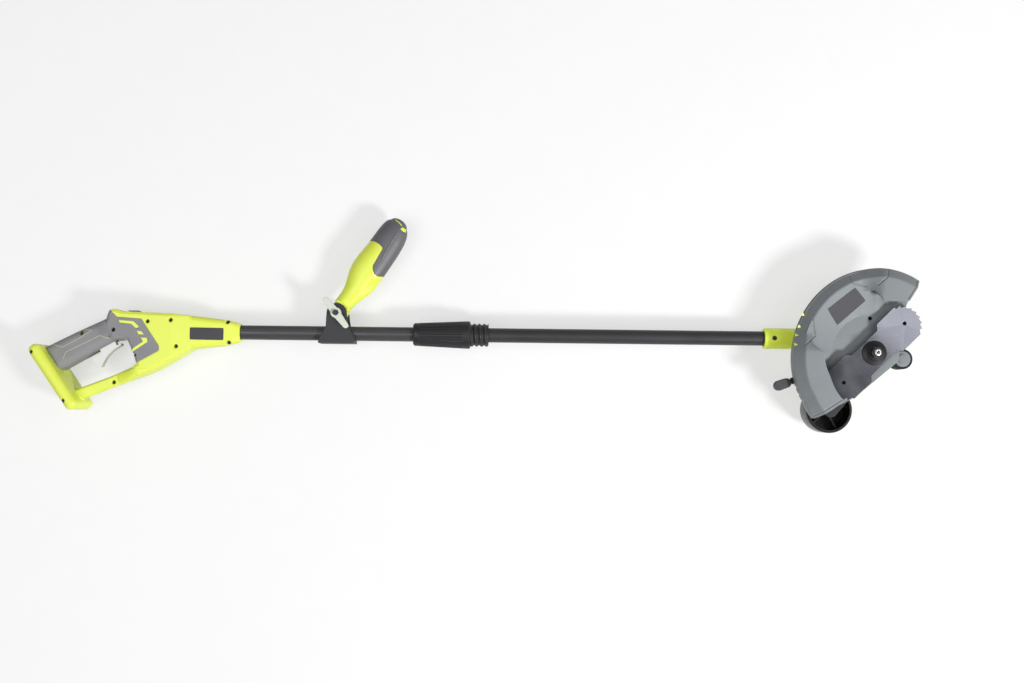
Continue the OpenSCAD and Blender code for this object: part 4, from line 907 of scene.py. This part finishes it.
def rim_section(deg):
    """Outline of the rim at an angle, and how many of its points lie on the seen side."""
    edge = band_edge(deg)
    r = rim_radius(deg)
    sunk = span(deg, *SUNK_SPAN)
    top = FACE_Z - FACE_DIP * sunk
    low = FACE_Z + (slope_height(deg, edge + FOLD) - FACE_Z) * sunk
    notch = NOTCH_DEPTH * max(ease_step((1.0 - abs(deg - n)) / 0.35) for n in NOTCHES)
    wall = [(r - notch, RIM_BACK), (r - notch, RIM_BACK + 3), (r - notch * 0.9, RIM_BACK + 4),
            (r, RIM_BACK + 4.6), (r, top - BEVEL_H - 1), (r - 0.25, top - BEVEL_H + 0.2)]
    bevel = [(r - BEVEL_W * j / BEVEL_ROWS, top - BEVEL_H + BEVEL_H * j / BEVEL_ROWS)
             for j in range(1, BEVEL_ROWS)]
    fold, inner = Vector((r - BEVEL_W - FOLD, top - 0.1)), Vector((edge + FOLD, low))
    face = [tuple(fold.lerp(inner, j / FACE_ROWS)) for j in range(FACE_ROWS + 1)]
    lip = [(edge + 0.2, low - 0.4), (edge, low - WALL + 0.6), (edge + 0.5, low - WALL)]
    under = [(r - BEVEL_W - WALL * 0.6, top - WALL), (r - WALL, top - BEVEL_H - WALL * 0.6),
             (r - WALL, RIM_BACK)]
    return wall + bevel + face + lip + under, len(wall), len(wall) + len(bevel) + len(face)


def groove_depth(p):
    """How deep the pressed grooves are at a place in plan."""
    near = GROOVE_HALF
    for line in GROOVES:
        for a, b in zip(line, line[1:]):
            a, b = Vector(a), Vector(b)
            t = min(1, max(0, (p - a).dot(b - a) / (b - a).length_squared))
            near = min(near, (p - a - t * (b - a)).length)
    return GROOVE_DEPTH * (1 - ease_step(near / GROOVE_HALF))


print("rim radius at 60, 150 and 228 degrees:", [round(rim_radius(d), 1) for d in (60, 150, 228)])

# %% [markdown]
# ## Guard skin and back plate
# The real guard is one moulding. Here the section is swept in fine steps, and sinking the points near a
# few bent lines presses the panel grooves into the same skin. The back plate is a flat plate with two
# holes, and the slope runs on under both ends of the face as two thin skins of its own, because there
# the section has two levels.

# %% Guard rim and plate
RIM_STEPS = 480
rim_verts = []
for i in range(RIM_STEPS + 1):
    deg = GUARD_FROM + (GUARD_TO - GUARD_FROM) * i / RIM_STEPS
    section, first, last = rim_section(deg)
    for k, (r, z) in enumerate(section):
        at = guard_point(deg, r, z)
        if first <= k < last - 1:
            at.z -= groove_depth(at.xy)
        rim_verts.append(at * MM)
guard_rim = add_piece("guard_rim", rim_verts, loft_faces(RIM_STEPS + 1, len(section)), GUARD, "frame")
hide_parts("guard")

CHORD_TURN, CHORD_IN, PLATE_STEPS = math.radians(-50), 35, 60
chord_n = polar(CHORD_TURN).xy
chord_t = Vector((-chord_n.y, chord_n.x))
plate_arc = [GUARD_FROM + (GUARD_TO - GUARD_FROM) * i / PLATE_STEPS for i in range(PLATE_STEPS + 1)]
plate_outline = [guard_point(d, rim_radius(d) - WALL / 2, 0).xy[:] for d in plate_arc]
plate_outline += [tuple(CHORD_IN * chord_n - 62 * chord_t), tuple(CHORD_IN * chord_n + 24 * chord_t),
                  (44, 8), (43, 50)]
SPINDLE_HOLE_R, LOCK_HOLE_R, LOCK_HOLE = 7, 3, (-1.5, 53.0)
holes = [circle_points(0, 0, SPINDLE_HOLE_R, 40), circle_points(*LOCK_HOLE, LOCK_HOLE_R, 28)]
guard_plate = bored_plate("guard_plate", plate_outline, holes, BOSS_TOP, BOSS_TOP + WALL, GUARD, "frame")
print("guard points:", len(rim_verts))

# %% Slope ends
SLOPE_STEPS, SLOPE_CELLS, SLOPE_REACH = 120, 92, 46
SLOPE_SUNK, SLOPE_THICK, SLOPE_FADE = 0.3, 2, 14


def slope_end(name, begin, end, flat):
    """The slope runs on under the face at either end, and flattens out there; the grooves cross it."""
    verts = []
    for i in range(SLOPE_STEPS + 1):
        deg = begin + (end - begin) * i / SLOPE_STEPS
        top = []
        for j in range(SLOPE_CELLS + 1):
            r = APRON_R + FOLD + SLOPE_REACH * j / SLOPE_CELLS
            rise = (slope_height(deg, r) - FOOT_Z) * ease_step(abs(deg - flat) / SLOPE_FADE)
            top.append(guard_point(deg, r, FOOT_Z - SLOPE_SUNK + rise))
        under = [q - Vector((0, 0, SLOPE_THICK)) for q in (top[-1], top[0])]
        for q in top:
            q.z -= groove_depth(q.xy)
        verts += [q * MM for q in top + under]
    faces = loft_faces(SLOPE_STEPS + 1, SLOPE_CELLS + 3)
    return add_piece(name, verts, faces, GUARD, "frame")


slope_ends = [slope_end("guard_slope_right", 72, 109, 72), slope_end("guard_slope_left", 153, 192, 192)]
print("slope ends:", len(slope_ends))

# %% [markdown]
# ## Small things on the guard
# A bare dark plate lies on the slope, four small pointers stand on the rim for the depth settings, and a
# blind boss under the lock hole takes the rod that stops the blade. The boss is a plausible part, but its
# black colour is painted shade that makes the lock hole show dark. The plate and the pointers are laid on
# the finished skin, and the boss is a lathe turned from a short profile.


# %% Guard details
def lathe(name, profile, at, mat, body, n=40):
    """A closed turned piece about an axis along Z; the profile runs from pole to pole."""
    verts = [(Vector(at) + polar(a, r, z)) * MM for r, z in profile for a in ring(n)]
    return add_piece(name, verts, loft_faces(len(profile), n), mat, body)


guard_top = surface_of(guard_rim, guard_plate, *slope_ends)
label_corners = [Vector(c) * MM for c in ((-52, 41.6), (-9.5, 79.2), (-27, 98.4), (-68.7, 65.5))]
laid_plate("guard_label", label_corners, 0.4 * MM, guard_top, PLATE, "frame", 24, 0.015)
POINTER_PLACES = [(-103.7, 57.4), (-109.8, 39.2), (-113.6, 26.3), (-116.7, 11.6)]
POINTER_CORNERS = [(1.5, 2.6), (1.5, -2.6), (-3.4, 0)]
PAST_RIM_Z = 0.09
pointer_verts, pointer_faces = [], []
for x, y in POINTER_PLACES:
    out = Vector((x, y)).normalized()
    side = Vector((-out.y, out.x))
    plan = [Vector((x, y)) + out * o + side * w for o, w in POINTER_CORNERS]
    start = len(pointer_verts)
    for lift in (-0.6, 0.7):
        for q in plan:
            z = guard_top(q.x * MM, q.y * MM) or PAST_RIM_Z
            pointer_verts.append(Vector((q.x * MM, q.y * MM, z + lift * MM)))
    pointer_faces += loft_faces(2, len(POINTER_CORNERS), start)
add_piece("depth_pointers", pointer_verts, pointer_faces, LIME, "frame", smooth=False)
boss_profile = [(0.4, -9), (4.4, -9), (4.8, -8.4), (4.8, -0.1), (3.05, -0.1), (3.0, -7.5), (0.4, -7.6)]
# Painted shade: the boss is black so that the lock hole above it shows dark
lathe("lock_hole_boss", boss_profile, (*LOCK_HOLE, BOSS_TOP), BLACK, "frame")
print("pointers:", len(POINTER_PLACES))

# %% [markdown]
# ## The arbor's end and the blade's holes
# The end of the arbor is ground bright, and a dark disc at its centre stands for the centre hole: painted
# shade. The two holes near the blade's heads have dark plugs a little under the blade's face: painted shade
# for the depth of the holes. Small lathe pieces turn with the blade.

# %% Arbor and holes
ARBOR_TOP, BLADE_Z, BLADE_HOLE_R = 120.5, 98.5, 64
ring_profile = [(2.1, -0.4), (2.1, 0.2), (2.4, 0.35), (4.4, 0.35), (4.8, 0.1), (4.8, -0.4)]
lathe("arbor_ring", ring_profile, (0, 0, ARBOR_TOP), STEEL, "cutter")
centre_profile = [(0.1, -0.3), (2.2, -0.3), (2.2, 0.12), (0.1, 0.04)]
# Painted shade: a dark disc stands for the arbor's centre hole
lathe("arbor_centre", centre_profile, (0, 0, ARBOR_TOP), GLOSS, "cutter")
hole_at = polar(math.radians(BLADE_ANGLE)) * BLADE_HOLE_R
# Painted shade: dark plugs sit in the blade's holes, a little under its face
shade_plug_profile = [(0.1, 0.3), (2.72, 0.3), (2.72, 2.6), (2.55, 2.6), (2.4, 0.7), (0.1, 0.6)]
for k, side in enumerate((1, -1)):
    lathe("blade_hole_%d" % (k + 1), shade_plug_profile, hole_at * side + Vector((0, 0, BLADE_Z)), HOLE_SHADE, "cutter")
print("turning details: 4")

# %% [markdown]
# ## Cutting head, blade and wheels
# These CAD pieces have their true shape already. The head, the lever, the front bracket and its knob are
# melted into moulded skins as the handle was, and the machined pieces only need their sharp edges broken
# so that they catch the light.

# %% Skins and broken edges
small_skins = {"head_near": (0.9, 6), "head_far": (0.9, 6), "lever_grip": (0.6, 8),
               "handle_bracket": (0.7, 6), "wing_knob": (0.5, 10)}
mould(small_skins)
edge_widths = {"blade": 0.35, "wheel": 1.2, "depth_arm": 0.8, "roller_tyre": 1.5, "roller_hub": 0.8,
               "outer_flange": 0.5, "arbor_nut": 0.6, "wheel_axle": 0.6, "roller_pin": 0.5,
               "coupling_nut": 0.4, "handle_bolt": 0.6}
for name, width in edge_widths.items():
    soften_edges(nodes[name], width * MM)
print("skins:", len(small_skins), "broken edges on:", len(edge_widths))

# %% [markdown]
# ## Floor
# The tool lies on a white sweep. A pale floor takes the shadows, and it shows a little brighter to the
# camera, and in mirrors, than it lights the tool, which keeps the ground white without flooding the
# tool with light.

# %% Floor
scene.view_settings.view_transform = "Standard"
FLOOR_HALF, FLOOR_GLOW = 40, 0.6
corners = [(x * FLOOR_HALF, y * FLOOR_HALF, 0) for x, y in ((-1, -1), (1, -1), (1, 1), (-1, 1))]
floor_mesh = bpy.data.meshes.new("studio_floor")
floor_mesh.from_pydata(corners, [], [(0, 1, 2, 3)])
floor = bpy.data.objects.new("studio_floor", floor_mesh)
scene.collection.objects.link(floor)
FLOOR = finish("studio_floor", (236, 236, 236), (238, 238, 238), 0.9, bump=0, specular=0.1)
floor.data.materials.append(FLOOR)
tree = FLOOR.node_tree
light_path = add_node(tree, "LightPath", {})
seen = light_path.outputs["Is Camera Ray"]
for kind in ("Is Glossy Ray", "Is Transmission Ray"):
    either = {0: seen, 1: light_path.outputs[kind]}
    seen = add_node(tree, "Math", either, operation="MAXIMUM").outputs[0]
share = add_node(tree, "Math", {0: seen, 1: FLOOR_GLOW}, operation="MULTIPLY")
glow = add_node(tree, "Emission", {"Color": srgb(249, 249, 249), "Strength": 1})
plain = tree.nodes["Principled BSDF"].outputs["BSDF"]
parts = {"Fac": share.outputs[0], 1: plain, 2: glow.outputs["Emission"]}
blend = add_node(tree, "MixShader", parts)
tree.links.new(blend.outputs["Shader"], tree.nodes["Material Output"].inputs["Surface"])
print("floor at z", floor.location.z)

# %% [markdown]
# ## Soft studio light
# A studio has large soft lamps and pale walls. The world stands for the walls. The main lamp stands low at
# the right, so the guard's left slopes fall into shade, a soft box above the blade gives it a gradient,
# and a wide fill lights the handles.

# %% Light
world = bpy.data.worlds.new("studio")
world.use_nodes = True
world.node_tree.nodes["Background"].inputs["Color"].default_value = (1, 1, 1, 1)
world.node_tree.nodes["Background"].inputs["Strength"].default_value = 0.25
scene.world = world


def soft_lamp(name, place, target, size, power, roll=0):
    """A rectangular soft box at a place, aimed at a target."""
    lamp = bpy.data.lights.new(name, "AREA")
    lamp.shape = "RECTANGLE"
    lamp.size, lamp.size_y = size
    lamp.energy = power
    ob = bpy.data.objects.new(name, lamp)
    ob.location = place
    aim = (Vector(target) - Vector(place)).to_track_quat("-Z", "Y").to_matrix()
    ob.rotation_euler = (aim @ Matrix.Rotation(math.radians(roll), 3, "Z")).to_euler()
    scene.collection.objects.link(ob)


soft_lamp("main", (1.2, -1.1, 1.9), (-0.35, 0, 0.05), (0.45, 0.45), 68)
soft_lamp("blade_box", (0.875, 0.4, 1.95), (0.875, 0.4, 0), (0.8, 0.8), 8.8, 45)
soft_lamp("handle_fill", (-1.5, -0.3, 2.2), (-0.9, 0, 0.05), (1.4, 1.4), 24)
print("lamps: 3")

# %% [markdown]
# ## Camera
# The tool is seen from almost straight above, from a little under two metres. The focal length is known
# in pixels of a picture 1024 wide, so it is turned into millimetres for the sensor.

# %% Camera
IMAGE_WIDTH, FOCAL_PIXELS, SENSOR = 1024, 1200, 36
camera = bpy.data.cameras.new("photo_view")
camera.sensor_width = SENSOR
camera.lens = FOCAL_PIXELS / IMAGE_WIDTH * SENSOR
camera.clip_end = 30
eye = bpy.data.objects.new("photo_view", camera)
eye.location = (-0.5448, -0.0886, 1.8918)
eye.rotation_euler = (0.0555, -0.0024, 0.0115)
scene.collection.objects.link(eye)
scene.camera = eye
print("camera height", round(eye.location.z, 3))
